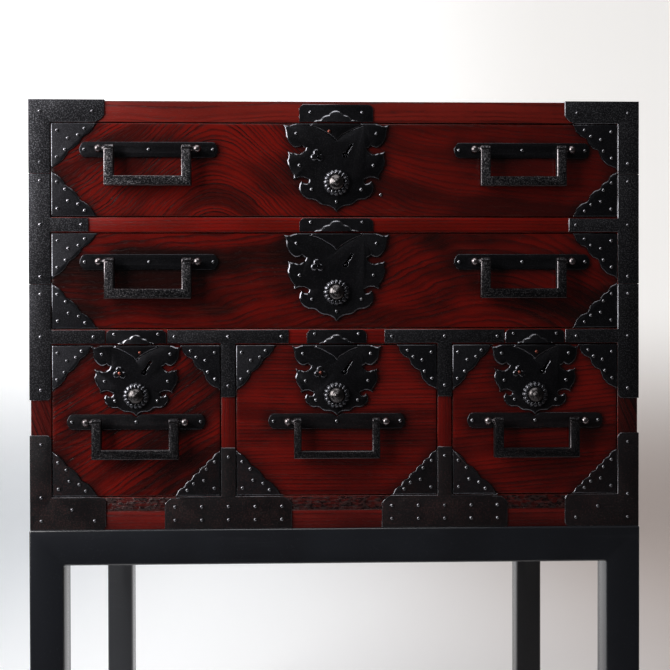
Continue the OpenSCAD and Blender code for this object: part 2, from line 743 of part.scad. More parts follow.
// Winged face plate, raised lozenge, leaf and petalled ring in one piece
module lock_face(d) {
    raised = lock_plate_t + relief_t;
    difference() {
        union() {
            sheet(0, lock_plate_t) intersection() {
                translate([lock_x(d), lock_z(d)]) polygon(lock_points(d));
                translate([lock_x(d) - lock_half(d), lock_z(d) - lock_drop(d)])
                    square([2 * lock_half(d), lock_drop(d) + lock_rise(d)]);
            }
            sheet(-lock_plate_t, relief_t) intersection() {
                translate([lock_x(d), z_of_lozenge(d)]) polygon(lozenge_points(d));
                translate([lock_x(d) - lock_half(d), lock_z(d)])
                    square([2 * lock_half(d), lock_rise(d)]);
            }
            sheet(-lock_plate_t, relief_t)
                translate([lock_x(d) + LEAF_PLACE[0] * lock_half(d),
                    lock_z(d) + LEAF_PLACE[1] * lock_rise(d)])
                    for (a = [100, 200, 330]) rotate(a) translate([3.4, 0]) circle(3.3);
            sheet(-lock_plate_t, ring_h) translate([lock_x(d), lock_z(d)]) petal_outline();
        }
        sheet(1, raised + ring_h + 2) keyhole(d);
        translate([lock_x(d), 1, lock_z(d)]) rotate([90, 0, 0])
            cylinder(r = button_r + lock_fit, h = raised + ring_h + 2);
        in_irons_relief(d);
    }
}

// Ring outline with a petal at every step
module petal_outline() {
    petal_r = PI * ring_r / petals;
    circle(ring_r - petal_r * 0.6);
    for (i = [0 : petals - 1])
        rotate(i * 360 / petals) translate([ring_r - petal_r, 0]) circle(petal_r);
}

// Room behind the face plate for the corner irons that it passes over
module in_irons_relief(d) {
    play = 0.2;
    x = front_x(d);
    z = front_z(d);
    reach = corner_w(d, true) + 2;
    sheet(1, 1 + iron_t + play)
        for (side = [0, 1]) translate([x[side], z[1]]) mirror([side, 0]) mirror([0, 1])
            polygon([[-1, -1], [reach, -1], [reach, 1], [1, wide_corner + 2], [-1, wide_corner + 2]]);
}

// Iron case in the drawer front, open to the face plate and slotted for the bolt
module lock_case(d) {
    half = case_w / 2;
    z0 = lock_z(d) - case_below;
    z1 = front_z(d)[1] - case_cover;
    difference() {
        block([lock_x(d) - half, seat_gap, z0], [lock_x(d) + half, case_depth, z1]);
        block([lock_x(d) - half + case_wall, -1, z0 + case_wall],
            [lock_x(d) + half - case_wall, case_depth - case_wall, z1 - case_wall]);
        block([lock_x(d) - bolt_w / 2 - lock_fit, bolt_y - lock_fit, z1 - case_wall - 1],
            [lock_x(d) + bolt_w / 2 + lock_fit, bolt_y + bolt_t + lock_fit, z1 + 1]);
    }
}

// Leaf springs that stand on the case's walls and lean towards the bolt
module lock_springs(d) {
    wall = case_w / 2 - case_wall;
    near = bolt_w / 2 + lock_fit;
    foot = bolt_foot - 2.5;
    for (side = [0, 1]) translate([lock_x(d), 0, lock_z(d)]) mirror([side, 0, 0])
        sheet(bolt_y + spring_w + 0.5, spring_w)
            polygon([[wall - seat_gap, foot], [wall - seat_gap, foot + 5],
                [near + spring_t, foot + 11], [near, foot + 11], [wall - spring_t, foot + 4.5],
                [wall - spring_t, foot]]);
}

// Upright pin in the middle of the keyhole, which the hollow key turns on
module key_pin(d) {
    x = lock_x(d) + 0.17 * lock_half(d);
    z = lock_z(d) + 0.47 * lock_rise(d);
    translate([x, case_depth - case_wall + 0.5, z]) rotate([90, 0, 0])
        cylinder(r = 1, h = case_depth - case_wall + 0.5 + lock_plate_t);
}

module drawer_lock(d) {
    color("#232327") in_case() {
        lock_face(d);
        lock_case(d);
        key_pin(d);
        lock_springs(d);
    }
}

// Domed push button inside the petalled ring, with the wedge behind it that lifts the bolt
module lock_button(d) {
    face = lock_plate_t + ring_h;
    centre_r = nipple_r * 0.4;
    rim = [for (i = [1 : 5]) let (a = i * 14)
        [centre_r + (button_r - centre_r) * cos(a), face + dome_h * sin(a)]];
    nipple = [[nipple_r, face + dome_h], [nipple_r * 0.7, face + dome_h + nipple_h * 0.75],
        [0, face + dome_h + nipple_h]];
    toe = bolt_y + bolt_t - wedge_gap;
    heel = button_skirt - 0.5;
    wedge_top = bolt_foot + bolt_slope * bolt_t;
    color("#5b554c") in_case() translate([lock_x(d), 0, lock_z(d)]) {
        rotate([90, 0, 0]) rotate_extrude()
            polygon(concat([[0, -button_skirt], [button_r, -button_skirt], [button_r, face]],
                rim, nipple));
        translate([-wedge_w / 2, 0, 0]) rotate([90, 0, 90]) linear_extrude(wedge_w)
            polygon([[heel, 0], [toe, 0], [toe, bolt_foot], [bolt_y - wedge_gap, wedge_top],
                [heel, wedge_top]]);
    }
}

// Flat bolt with a slanted foot, which rises into the rail above the drawer
module lock_bolt(d) {
    top = lock_rise(d) - bolt_head_gap;
    color("#5b554c") in_case() translate([lock_x(d) - bolt_w / 2, 0, lock_z(d)]) rotate([90, 0, 90])
        linear_extrude(bolt_w) polygon([[bolt_y, bolt_foot + bolt_slope * bolt_t],
            [bolt_y + bolt_t, bolt_foot], [bolt_y + bolt_t, top - 0.5],
            [bolt_y + bolt_t - 0.5, top], [bolt_y, top]]);
}

// Back plate of a handle, with a small notch where a lock plate's tip reaches it
module handle_plate(d, hx) {
    half_h = handle_plate_h / 2;
    half_w = handle_plate_w / 2;
    last = len(PLATE_END) - 1;
    ends = [for (p = PLATE_END) [half_w + p[0] * half_h, p[1] * half_h]];
    right = concat([for (i = [0 : last - 1])
        each bulged(ends[i], ends[i + 1], PLATE_END[i][2] * half_h)], [ends[last]]);
    reach = handle_z(d) + half_h - (lock_z(d) - lock_drop(d));
    play = 1.2;
    sheet(0, handle_plate_t) difference() {
        translate([hx, handle_z(d)])
            polygon(concat(right, [for (i = [len(right) - 1 : -1 : 0]) [-right[i][0], right[i][1]]]));
        if (reach > 0 && abs(hx - lock_x(d)) < half_w) translate([hx, handle_z(d) + half_h])
            polygon([[-2 * reach - 2, 1], [0, -reach - play], [2 * reach + 2, 1]]);
        for (side = [-1, 1])
            translate([hx + side * post_x(), handle_z(d)]) circle(post_neck_r + pin_fit);
    }
}

// Eye post: a round head bored for the bail's pin, on a neck clenched behind the front board
module eye_post(d, x, inward) {
    axis_y = -handle_plate_t - post_reach;
    bore = post_r + pin_end;
    difference() {
        union() {
            translate([x, axis_y, handle_z(d)]) rotate([0, 0, -90]) sphere(post_r);
            translate([x, front_t + 0.5, handle_z(d)]) rotate([90, 0, 0])
                cylinder(r = post_neck_r, h = front_t + 0.5 - axis_y);
            translate([x, front_t + clench_t, handle_z(d)]) rotate([90, 0, 0])
                cylinder(r = clench_r, h = clench_t);
        }
        translate([x - inward * (pin_end + 0.3), axis_y, handle_z(d)]) rotate([0, inward * 90, 0])
            cylinder(r = pin_r + pin_fit, h = bore + 1);
    }
}

module handle_mounts(d) {
    color("#2a2a2e") in_case() for (hx = handle_xs(d)) {
        handle_plate(d, hx);
        for (side = [-1, 1]) eye_post(d, hx + side * post_x(), -side);
    }
}

// Square-forged bail hanging from its two pins, side = 0 for the left handle of a drawer
module bail(d, side) {
    hx = handle_xs(d)[side];
    bar = bar_w(d);
    y = -handle_plate_t - post_reach;
    color("#313136") in_case() translate([hx, y, handle_z(d)]) {
        for (x = [-bail_w / 2, bail_w / 2 - bar]) {
            block([x, -bail_t / 2, -bail_drop], [x + bar, bail_t / 2, 0]);
            translate([x, 0, 0]) rotate([0, 90, 0]) cylinder(r = bail_t / 2, h = bar);
        }
        block([-bail_w / 2, -bail_t / 2, -bail_drop], [bail_w / 2, bail_t / 2, bar - bail_drop]);
        for (s = [-1, 1]) translate([s * (bail_w / 2 - 1), 0, 0]) rotate([0, s * 90, 0]) {
            cylinder(r = pin_r, h = 1 + post_gap + post_r + pin_end);
            cylinder(r = collar_r, h = 1 + collar_t);
        }
    }
}

top_board();
bottom_board();
side_board(-1);  // left_side
side_board(1);  // right_side
back_board();
shelf(upper_shelf_z, [MIDDLE]);  // upper_shelf
shelf(lower_shelf_z, [LEFT, CENTRE, RIGHT]);  // lower_shelf
dividers();
base_rails();
frame_irons();
frame_nails();
stand_legs();
stand_rails();

drawer_front(UPPER);  // upper_drawer_front
drawer_box(UPPER);  // upper_drawer_box
corner_irons(UPPER);  // upper_drawer_corner_irons
drawer_lock(UPPER);  // upper_drawer_lock
lock_button(UPPER);  // upper_drawer_lock_button
lock_bolt(UPPER);  // upper_drawer_lock_bolt
handle_mounts(UPPER);  // upper_drawer_handle_mounts
bail(UPPER, 0);  // upper_drawer_left_bail
bail(UPPER, 1);  // upper_drawer_right_bail
drawer_nails(UPPER);  // upper_drawer_nails

drawer_front(MIDDLE);  // middle_drawer_front
drawer_box(MIDDLE);  // middle_drawer_box
corner_irons(MIDDLE);  // middle_drawer_corner_irons
drawer_lock(MIDDLE);  // middle_drawer_lock
lock_button(MIDDLE);  // middle_drawer_lock_button
lock_bolt(MIDDLE);  // middle_drawer_lock_bolt
handle_mounts(MIDDLE);  // middle_drawer_handle_mounts
bail(MIDDLE, 0);  // middle_drawer_left_bail
bail(MIDDLE, 1);  // middle_drawer_right_bail
drawer_nails(MIDDLE);  // middle_drawer_nails

drawer_front(LEFT);  // lower_left_drawer_front
drawer_box(LEFT);  // lower_left_drawer_box
corner_irons(LEFT);  // lower_left_drawer_corner_irons
drawer_lock(LEFT);  // lower_left_drawer_lock
lock_button(LEFT);  // lower_left_drawer_lock_button
lock_bolt(LEFT);  // lower_left_drawer_lock_bolt
handle_mounts(LEFT);  // lower_left_drawer_handle_mounts
bail(LEFT, 0);  // lower_left_drawer_bail
drawer_nails(LEFT);  // lower_left_drawer_nails

drawer_front(CENTRE);  // lower_centre_drawer_front
drawer_box(CENTRE);  // lower_centre_drawer_box
corner_irons(CENTRE);  // lower_centre_drawer_corner_irons
drawer_lock(CENTRE);  // lower_centre_drawer_lock
lock_button(CENTRE);  // lower_centre_drawer_lock_button
lock_bolt(CENTRE);  // lower_centre_drawer_lock_bolt
handle_mounts(CENTRE);  // lower_centre_drawer_handle_mounts
bail(CENTRE, 0);  // lower_centre_drawer_bail
drawer_nails(CENTRE);  // lower_centre_drawer_nails

drawer_front(RIGHT);  // lower_right_drawer_front
drawer_box(RIGHT);  // lower_right_drawer_box
corner_irons(RIGHT);  // lower_right_drawer_corner_irons
drawer_lock(RIGHT);  // lower_right_drawer_lock
lock_button(RIGHT);  // lower_right_drawer_lock_button
lock_bolt(RIGHT);  // lower_right_drawer_lock_bolt
handle_mounts(RIGHT);  // lower_right_drawer_handle_mounts
bail(RIGHT, 0);  // lower_right_drawer_bail
drawer_nails(RIGHT);  // lower_right_drawer_nails
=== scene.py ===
"""Looks of a small iron-bound sea chest on a low black stand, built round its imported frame.

The chest has two wide and three narrow drawers under red translucent lacquer, black wrought
irons with domed nails, winged lock plates with a petalled ring and a push button, and
square-forged bail handles. Every piece lies in the frame's own coordinates, in metres.
"""

import json
import logging
import math
from collections.abc import Callable, Hashable, Iterable, Mapping, Sequence
from dataclasses import dataclass
from enum import Enum

import bmesh
import bpy
from mathutils import Matrix, Vector
from mathutils.bvhtree import BVHTree

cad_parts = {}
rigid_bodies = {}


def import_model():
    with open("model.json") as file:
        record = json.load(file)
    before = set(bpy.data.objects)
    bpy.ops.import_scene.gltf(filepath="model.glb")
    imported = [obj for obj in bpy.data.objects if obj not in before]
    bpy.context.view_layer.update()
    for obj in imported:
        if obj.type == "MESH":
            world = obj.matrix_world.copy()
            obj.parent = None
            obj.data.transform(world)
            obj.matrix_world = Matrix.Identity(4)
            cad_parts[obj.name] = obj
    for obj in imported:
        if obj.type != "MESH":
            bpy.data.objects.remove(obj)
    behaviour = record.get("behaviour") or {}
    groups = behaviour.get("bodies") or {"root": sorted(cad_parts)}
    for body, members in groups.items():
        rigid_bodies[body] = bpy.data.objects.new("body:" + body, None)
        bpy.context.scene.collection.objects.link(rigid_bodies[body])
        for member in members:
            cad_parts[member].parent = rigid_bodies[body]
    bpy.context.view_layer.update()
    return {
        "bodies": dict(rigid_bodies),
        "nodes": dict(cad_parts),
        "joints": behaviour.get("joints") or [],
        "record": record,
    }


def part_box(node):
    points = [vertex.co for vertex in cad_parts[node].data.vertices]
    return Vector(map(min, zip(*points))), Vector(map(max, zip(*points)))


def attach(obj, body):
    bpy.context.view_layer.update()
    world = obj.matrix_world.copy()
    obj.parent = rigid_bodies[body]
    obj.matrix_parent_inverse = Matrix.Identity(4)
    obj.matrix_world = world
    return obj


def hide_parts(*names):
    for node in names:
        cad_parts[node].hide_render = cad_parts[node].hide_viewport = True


Colour = tuple[float, float, float]
Point = tuple[float, float, float]

LOG = logging.getLogger("sea_chest")
MM = 0.001
WHITE: Colour = (1.0, 1.0, 1.0)

# Planes of the front, from the wood outwards: the lock plates' faces, the level past which only
# the eye posts stand out from the handle plates, the relief on the lock plates, and the ring
# round the button.
FRONT_Y = -0.2425
PLATE_Y = FRONT_Y - 2.4 * MM
POST_Y = FRONT_Y - 3 * MM
RELIEF_Y = FRONT_Y - 3.5 * MM
RING_Y = FRONT_Y - 4.9 * MM

# Levels of the case between which its irons change, and how far to each side they change.
CASE_FOOT = 0.4
RUST_LEVELS = (CASE_FOOT + 0.02, CASE_FOOT + 0.16)
PATINA_LEVELS = (CASE_FOOT + 0.06, CASE_FOOT + 0.15)
# Between these levels the irons' painted shade fades out upwards.
PAINTED_SHADE_LEVELS = (CASE_FOOT + 0.17, CASE_FOOT + 0.34)
SIDE_X = 0.28

# Limits for work on meshes: distances in metres, parts of a face's normal, angles in degrees,
# and the area in square metres from which a flat face is broad.
WELD = 2e-6
ON_PLANE = 1e-6
SAME_LEVEL = 2e-5
LOOKS_FORWARD = -0.99
LOOKS_UP = 0.3
LOOKS_ASIDE = 0.05
SQUARE_ON = 0.9999
FLAT_ANGLE = 0.6
ROUNDED_ANGLE = 40.0
SLOPED_ANGLE = 24.0
BROAD_FACE = 4e-6

# Names of the attributes that geometry hands to its material or its tree.
NEAR_IRON = "near_iron"
NAIL_WAY = "way"


def shade(code: str) -> Colour:
    """Turns a six-digit colour code into the linear colour that a shader takes.

    Args:
        code: Red, green and blue as two hexadecimal digits each.

    Returns:
        The three linear values.
    """
    parts = [int(code[i : i + 2], 16) / 255 for i in (0, 2, 4)]
    return tuple(c / 12.92 if c <= 0.04045 else ((c + 0.055) / 1.055) ** 2.4 for c in parts)


class Tree:
    """Makes and joins the nodes of one node tree."""

    def __init__(self, tree: bpy.types.NodeTree) -> None:
        """Keeps the tree that the nodes go into."""
        self.tree = tree

    def add(self, kind: str, settings: Mapping[str, object] | None = None,
            **inputs: object) -> bpy.types.Node:
        """Adds a node.

        Args:
            kind: The node's type name in Blender.
            settings: The node's own properties.
            **inputs: Sockets to join or values to set, with underscores for spaces.

        Returns:
            The new node.
        """
        node = self.tree.nodes.new(kind)
        for name, value in (settings or {}).items():
            setattr(node, name, value)
        self.fill(node, inputs)
        return node

    def use(self, group: bpy.types.NodeTree, **inputs: object) -> bpy.types.NodeOutputs:
        """Places a shader group.

        Args:
            group: The group.
            **inputs: Its inputs, as for add.

        Returns:
            The group's outputs.
        """
        return self.add("ShaderNodeGroup", {"node_tree": group}, **inputs).outputs

    def fill(self, node: bpy.types.Node, inputs: Mapping[str, object]) -> None:
        """Joins or sets some inputs of a node.

        Args:
            node: The node.
            inputs: Sockets or values by the input's name, with underscores for spaces.
        """
        for name, value in inputs.items():
            self.feed(node.inputs[name.replace("_", " ")], value)

    def feed(self, socket: bpy.types.NodeSocket, value: object) -> None:
        """Joins a socket to an input, or sets the value on it.

        Args:
            socket: The input.
            value: The socket to join or the value to set. None leaves the input alone.
        """
        if isinstance(value, bpy.types.NodeSocket):
            self.tree.links.new(value, socket)
        elif value is not None:
            if socket.type == "RGBA" and len(value) == 3:
                value = (*value, 1.0)
            socket.default_value = value

    def math(self, operation: str, *values: object) -> bpy.types.NodeSocket:
        """Adds a Math node.

        Args:
            operation: The operation's name.
            *values: One to three sockets or numbers.

        Returns:
            The result's socket.
        """
        node = self.add("ShaderNodeMath", {"operation": operation})
        for socket, value in zip(node.inputs, values):
            self.feed(socket, value)
        return node.outputs[0]

    def chain(self, operation: str, values: Sequence[object]) -> bpy.types.NodeSocket:
        """Joins values by one operation, from left to right.

        Args:
            operation: The operation's name.
            values: The sockets or numbers.

        Returns:
            The result's socket, or the value itself where there is only one.
        """
        result = values[0]
        for value in values[1:]:
            result = self.math(operation, result, value)
        return result

    def times(self, *values: object) -> bpy.types.NodeSocket:
        """Multiplies sockets or numbers."""
        return self.chain("MULTIPLY", values)

    def plus(self, *values: object) -> bpy.types.NodeSocket:
        """Adds sockets or numbers."""
        return self.chain("ADD", values)

    def minus(self, value: object, less: object) -> bpy.types.NodeSocket:
        """Takes one socket or number from another one."""
        return self.math("SUBTRACT", value, less)

    def highest(self, *values: object) -> bpy.types.NodeSocket:
        """Gives the highest of some sockets or numbers."""
        return self.chain("MAXIMUM", values)

    def linear(self, value: object, gain: float, start: object) -> bpy.types.NodeSocket:
        """Multiplies a value by a gain and adds a start."""
        return self.math("MULTIPLY_ADD", value, gain, start)

    def spread(self, value: object, low: object, high: float, to_low: float = 0.0,
               to_high: float = 1.0) -> bpy.types.NodeSocket:
        """Maps a range of values onto another one, easing in and out, with its ends held.

        Args:
            value: The socket to map.
            low: The value that becomes to_low.
            high: The value that becomes to_high.
            to_low: The result at the low end.
            to_high: The result at the high end.

        Returns:
            The result's socket.
        """
        node = self.add("ShaderNodeMapRange", {"interpolation_type": "SMOOTHSTEP", "clamp": True})
        for name, number in (("Value", value), ("From Min", low), ("From Max", high),
                             ("To Min", to_low), ("To Max", to_high)):
            self.feed(node.inputs[name], number)
        return node.outputs[0]

    def blend(self, factor: object, first: object, second: object) -> bpy.types.NodeSocket:
        """Mixes two colours.

        Args:
            factor: The share of the second colour.
            first: The colour at factor 0.
            second: The colour at factor 1.

        Returns:
            The mixed colour's socket.
        """
        node = self.add("ShaderNodeMix", {"data_type": "RGBA"})
        self.feed(node.inputs[0], factor)
        self.feed(node.inputs[6], first)
        self.feed(node.inputs[7], second)
        return node.outputs[2]

    def tint(self, base: object, code: str, *masks: object) -> bpy.types.NodeSocket:
        """Lays a colour over another one.

        Args:
            base: The colour below.
            code: The upper colour's code.
            *masks: Sockets or numbers whose product is the upper colour's share.

        Returns:
            The mixed colour's socket.
        """
        return self.blend(self.times(*masks), base, shade(code))

    def noise(self, vector: object, scale: object, detail: float = 2.0, roughness: float = 0.5,
              distortion: float = 0.0) -> bpy.types.NodeSocket:
        """Adds a noise over space.

        Args:
            vector: The place's socket.
            scale: How many waves there are in a metre.
            detail: How many finer layers there are.
            roughness: The share of the finer layers.
            distortion: How strongly the waves are bent.

        Returns:
            The noise's value, from 0 to 1.
        """
        return self.add("ShaderNodeTexNoise", Vector=vector, Scale=scale, Detail=detail,
                        Roughness=roughness, Distortion=distortion).outputs[0]

    def noise_line(self, place: object, detail: float = 1.0) -> bpy.types.NodeSocket:
        """Adds a noise along one number.

        Args:
            place: The number's socket.
            detail: How many finer layers there are.

        Returns:
            The noise's value, from 0 to 1.
        """
        return self.add("ShaderNodeTexNoise", {"noise_dimensions": "1D"}, W=place, Scale=1.0,
                        Detail=detail).outputs[0]

    def axes(self, vector: object) -> tuple[bpy.types.NodeSocket, ...]:
        """Gives the three sockets of a vector's X, Y and Z."""
        return tuple(self.add("ShaderNodeSeparateXYZ", Vector=vector).outputs)

    def mapped(self, vector: object, scale: Point = (1, 1, 1), turn: Point = (0, 0, 0),
               shift: Point = (0, 0, 0)) -> bpy.types.NodeSocket:
        """Moves, turns and scales a vector with a Mapping node.

        Args:
            vector: The vector's socket.
            scale: The scale along each axis.
            turn: The turn about each axis, in degrees.
            shift: The shift, in metres.

        Returns:
            The new vector's socket.
        """
        return self.add("ShaderNodeMapping", Vector=vector, Scale=scale, Location=shift,
                        Rotation=[math.radians(a) for a in turn]).outputs[0]


@dataclass(frozen=True)
class Port:
    """One socket of a node group.

    Attributes:
        name: The socket's name.
        kind: The socket's type name, without its common start.
        start: The value that it has where nothing is set.
    """

    name: str
    kind: str = "Float"
    start: float | None = None


class Group(Tree):
    """A node group under construction.

    Attributes:
        taken: The sockets of its inputs.
        given: The node that takes its results.
    """

    def __init__(self, name: str, kind: str, takes: Sequence[Port], gives: Sequence[Port]) -> None:
        """Makes the empty group with its sockets.

        Args:
            name: The group's name.
            kind: The type name of the tree.
            takes: The input sockets.
            gives: The output sockets.
        """
        super().__init__(bpy.data.node_groups.new(name, kind))
        for way, ports in (("INPUT", takes), ("OUTPUT", gives)):
            for port in ports:
                made = self.tree.interface.new_socket(port.name, in_out=way,
                                                      socket_type="NodeSocket" + port.kind)
                if port.start is not None:
                    made.default_value = port.start
        self.taken = self.tree.nodes.new("NodeGroupInput").outputs
        self.given = self.tree.nodes.new("NodeGroupOutput")

    def give(self, **results: object) -> bpy.types.NodeTree:
        """Joins the group's results and gives its finished tree."""
        self.fill(self.given, results)
        return self.tree

    def end(self, geometry: bpy.types.NodeSocket) -> bpy.types.NodeTree:
        """Ends a geometry group with real faces in the material of its input Finish.

        Args:
            geometry: The finished geometry, which may hold instances.

        Returns:
            The finished tree.
        """
        real = self.add("GeometryNodeRealizeInstances", Geometry=geometry)
        done = self.add("GeometryNodeSetMaterial", Geometry=real.outputs[0],
                        Material=self.taken["Finish"])
        return self.give(Geometry=done.outputs[0])


class Effects:
    """The shader groups that several finishes share, each built once.

    Attributes:
        figure: The growth rings, clouds and pores of a sawn board.
        forged: Hammer marks, scale and pits on forged iron.
        grime: Patches and specks that come in clusters, for rust, dust and worn spots.
        scratches: Thin scratches in a few directions.
    """

    def __init__(self) -> None:
        """Builds the groups."""
        self.figure = self._figure()
        self.forged = self._forged()
        self.grime = self._grime()
        self.scratches = self._scratches()

    @staticmethod
    def _figure() -> bpy.types.NodeTree:
        """Builds a figure whose grain runs along X and whose rings follow one another in Z.

        Returns:
            The group.
        """
        tree = Group("wood figure", "ShaderNodeTree",
                     [Port("Vector", "Vector"), Port("Spacing", start=0.004),
                      Port("Rise", start=0.0), Port("Reach", start=0.14),
                      Port("Swirl", start=0.02), Port("Ripple", start=0.003),
                      Port("Sharpness", start=0.3)],
                     [Port("Rings"), Port("Cloud"), Port("Pores"), Port("Height")])
        taken, place = tree.taken, tree.taken["Vector"]
        x, y, z = tree.axes(place)
        slow = tree.noise(tree.mapped(place, (0.8, 1.0, 1.9)), 7.5, 1.0)
        quick = tree.noise(tree.mapped(place, (0.5, 1.0, 1.3)), 40.0)
        hair = tree.noise(tree.mapped(place, (0.35, 1.0, 1.0)), 420.0, 2.0, 0.6)
        across = tree.times(x, x)
        reach = tree.times(taken["Reach"], taken["Reach"])
        bow = tree.math("DIVIDE", across, tree.plus(across, reach))
        height = tree.plus(z, tree.times(y, 0.45), tree.times(bow, taken["Rise"]))
        for wave, size in ((slow, taken["Swirl"]), (quick, taken["Ripple"]), (hair, 1 * MM)):
            height = tree.plus(height, tree.times(tree.minus(wave, 0.5), size))
        turns = tree.math("DIVIDE", height, taken["Spacing"])
        uneven = tree.times(tree.noise_line(tree.times(turns, 0.43)), 1.8)
        share = tree.math("FRACT", tree.plus(turns, uneven))
        late = tree.spread(share, taken["Sharpness"], 0.86)
        late = tree.times(late, tree.spread(share, 0.9, 1.0, 1.0, 0.0))
        force = tree.spread(tree.noise_line(tree.times(turns, 0.31)), 0.36, 0.6, 0.5)
        faint = tree.spread(tree.noise(place, 21.0), 0.34, 0.56, 0.45)
        rings = tree.times(late, force, faint)
        band = tree.noise_line(tree.times(turns, 0.16), 2.0)
        patch = tree.noise(tree.mapped(place, (0.7, 1.0, 1.5)), 13.0, 3.0)
        cloud = tree.spread(tree.plus(tree.times(band, 0.5), tree.times(patch, 0.5)), 0.41, 0.59)
        fibre = tree.add("ShaderNodeCombineXYZ", X=tree.times(x, 0.09), Y=y, Z=height).outputs[0]
        pore = tree.spread(tree.noise(fibre, 1500.0, 1.0), 0.52, 0.68)
        pores = tree.times(pore, tree.linear(rings, 0.7, 0.3))
        lift = tree.linear(rings, -0.6, tree.times(pores, -0.4))
        return tree.give(Rings=rings, Cloud=cloud, Pores=pores, Height=lift)

    @staticmethod
    def _forged() -> bpy.types.NodeTree:
        """Builds the marks of forged iron.

        Returns:
            The group.
        """
        tree = Group("forged surface", "ShaderNodeTree",
                     [Port("Vector", "Vector"), Port("Dents", start=210.0),
                      Port("Speckle", start=900.0)],
                     [Port("Height"), Port("Speck"), Port("Tone")])
        place = tree.taken["Vector"]
        dents = tree.add("ShaderNodeTexVoronoi", {"feature": "SMOOTH_F1"}, Vector=place,
                         Scale=tree.taken["Dents"], Smoothness=0.6).outputs["Distance"]
        grit = tree.noise(place, tree.taken["Speckle"], 2.0, 0.6)
        scale = tree.noise(place, 95.0, 3.0, 0.6)
        rise = tree.plus(tree.times(dents, 0.8), tree.times(grit, 0.55), tree.times(scale, 0.8))
        tone = tree.spread(tree.noise(place, 31.0, 3.0), 0.35, 0.68)
        return tree.give(Height=rise, Speck=tree.spread(grit, 0.5, 0.66), Tone=tone)

    @staticmethod
    def _grime() -> bpy.types.NodeTree:
        """Builds the patches and specks.

        Returns:
            The group.
        """
        tree = Group("patches and specks", "ShaderNodeTree",
                     [Port("Vector", "Vector"), Port("Amount", start=0.5),
                      Port("Size", start=60.0), Port("Grain", start=700.0)],
                     [Port("Patch"), Port("Specks")])
        taken, place = tree.taken, tree.taken["Vector"]
        cut = tree.linear(taken["Amount"], -0.34, 0.7)
        wide = tree.noise(place, taken["Size"], 4.0, 0.6)
        fine = tree.noise(place, taken["Grain"], 1.0)
        clustered = tree.plus(fine, tree.times(tree.minus(wide, 0.5), 0.35))
        return tree.give(Patch=tree.spread(tree.minus(wide, cut), -0.02, 0.12),
                         Specks=tree.spread(tree.minus(clustered, cut), 0.05, 0.1))

    @staticmethod
    def _scratches() -> bpy.types.NodeTree:
        """Builds the scratches.

        Returns:
            The group.
        """
        tree = Group("thin scratches", "ShaderNodeTree",
                     [Port("Vector", "Vector"), Port("Amount", start=0.4)], [Port("Scratch")])
        place, lines = tree.taken["Vector"], []
        for turn, start in ((24, 3.1), (-63, 7.7), (7, 12.9)):
            lane = tree.mapped(place, (14, 60, 420), (0, turn, 0), (start, start, start))
            wave = tree.noise(lane, 1.0, 0.0, distortion=0.4)
            lines.append(tree.spread(wave, 0.735, 0.77))
        where = tree.spread(tree.noise(place, 23.0), 0.45, 0.62)
        return tree.give(Scratch=tree.times(tree.highest(*lines), where, tree.taken["Amount"]))


class Surface(Tree):
    """A material's node tree.

    Attributes:
        effects: The shared shader groups.
        shader: The material's one shader.
        place: The socket of each point's place on the piece.
    """

    def __init__(self, tree: bpy.types.NodeTree, effects: Effects) -> None:
        """Empties the tree and sets up the shader.

        Args:
            tree: The material's tree.
            effects: The shared shader groups.
        """
        super().__init__(tree)
        tree.nodes.clear()
        self.effects = effects
        self.shader = self.add("ShaderNodeBsdfPrincipled")
        self.add("ShaderNodeOutputMaterial", Surface=self.shader.outputs[0])
        self.place = self.add("ShaderNodeTexCoord").outputs["Object"]

    def coat(self, **inputs: object) -> None:
        """Joins or sets inputs of the shader."""
        self.fill(self.shader, inputs)

    def bump(self, height: bpy.types.NodeSocket, depth: float) -> None:
        """Feeds a height, whose 1 is a depth in millimetres, to the shader's normal."""
        node = self.add("ShaderNodeBump", Height=height, Distance=depth * MM)
        self.coat(Normal=node.outputs[0])


class Finish:
    """A finish that makes its material once and keeps it.

    Attributes:
        made: The materials made so far, by their finish.
        effects: The shared shader groups, once there are any.
    """

    made: dict["Finish", bpy.types.Material] = {}
    effects: Effects | None = None

    def material(self) -> bpy.types.Material:
        """Gives the finish's material, and builds it on the first call.

        Returns:
            The material.
        """
        if self not in Finish.made:
            if Finish.effects is None:
                Finish.effects = Effects()
            material = bpy.data.materials.new(self.name)
            material.use_nodes = True
            self.paint(Surface(material.node_tree, Finish.effects))
            Finish.made[self] = material
        return Finish.made[self]

    def paint(self, tree: Surface) -> None:
        """Fills the material's tree."""
        raise NotImplementedError


@dataclass(frozen=True)
class Grain:
    """How a board's growth rings show.

    Attributes:
        along: The turn about each axis that lays the grain along X and the rings along Z.
        centre: The middle of the rings' arches, in metres.
        spacing: The distance of the rings, in millimetres.
        rise: How high the rings bow up into arches round the middle, in metres.
        reach: How far the arches reach to each side, in metres.
        swirl: The height of the slow waves, in millimetres.
        ripple: The height of the quick waves, in millimetres.
        sharp: The share of a ring that stays light.
        depth: How strongly the dark lines show.
    """

    along: Point = (0, 0, 0)
    centre: Point = (0, 0, 0)
    spacing: float = 4.0
    rise: float = 0.0
    reach: float = 0.14
    swirl: float = 14.0
    ripple: float = 5.0
    sharp: float = 0.28
    depth: float = 0.88

    def laid(self, tree: Surface, place: bpy.types.NodeSocket) -> bpy.types.NodeOutputs:
        """Lays the figure over a place.

        Args:
            tree: The material's tree.
            place: The place, measured from the centre.

        Returns:
            The figure's outputs.
        """
        return tree.use(tree.effects.figure, Vector=tree.mapped(place, turn=self.along),
                        Spacing=self.spacing * MM, Rise=self.rise, Reach=self.reach,
                        Swirl=self.swirl * MM, Ripple=self.ripple * MM, Sharpness=self.sharp)


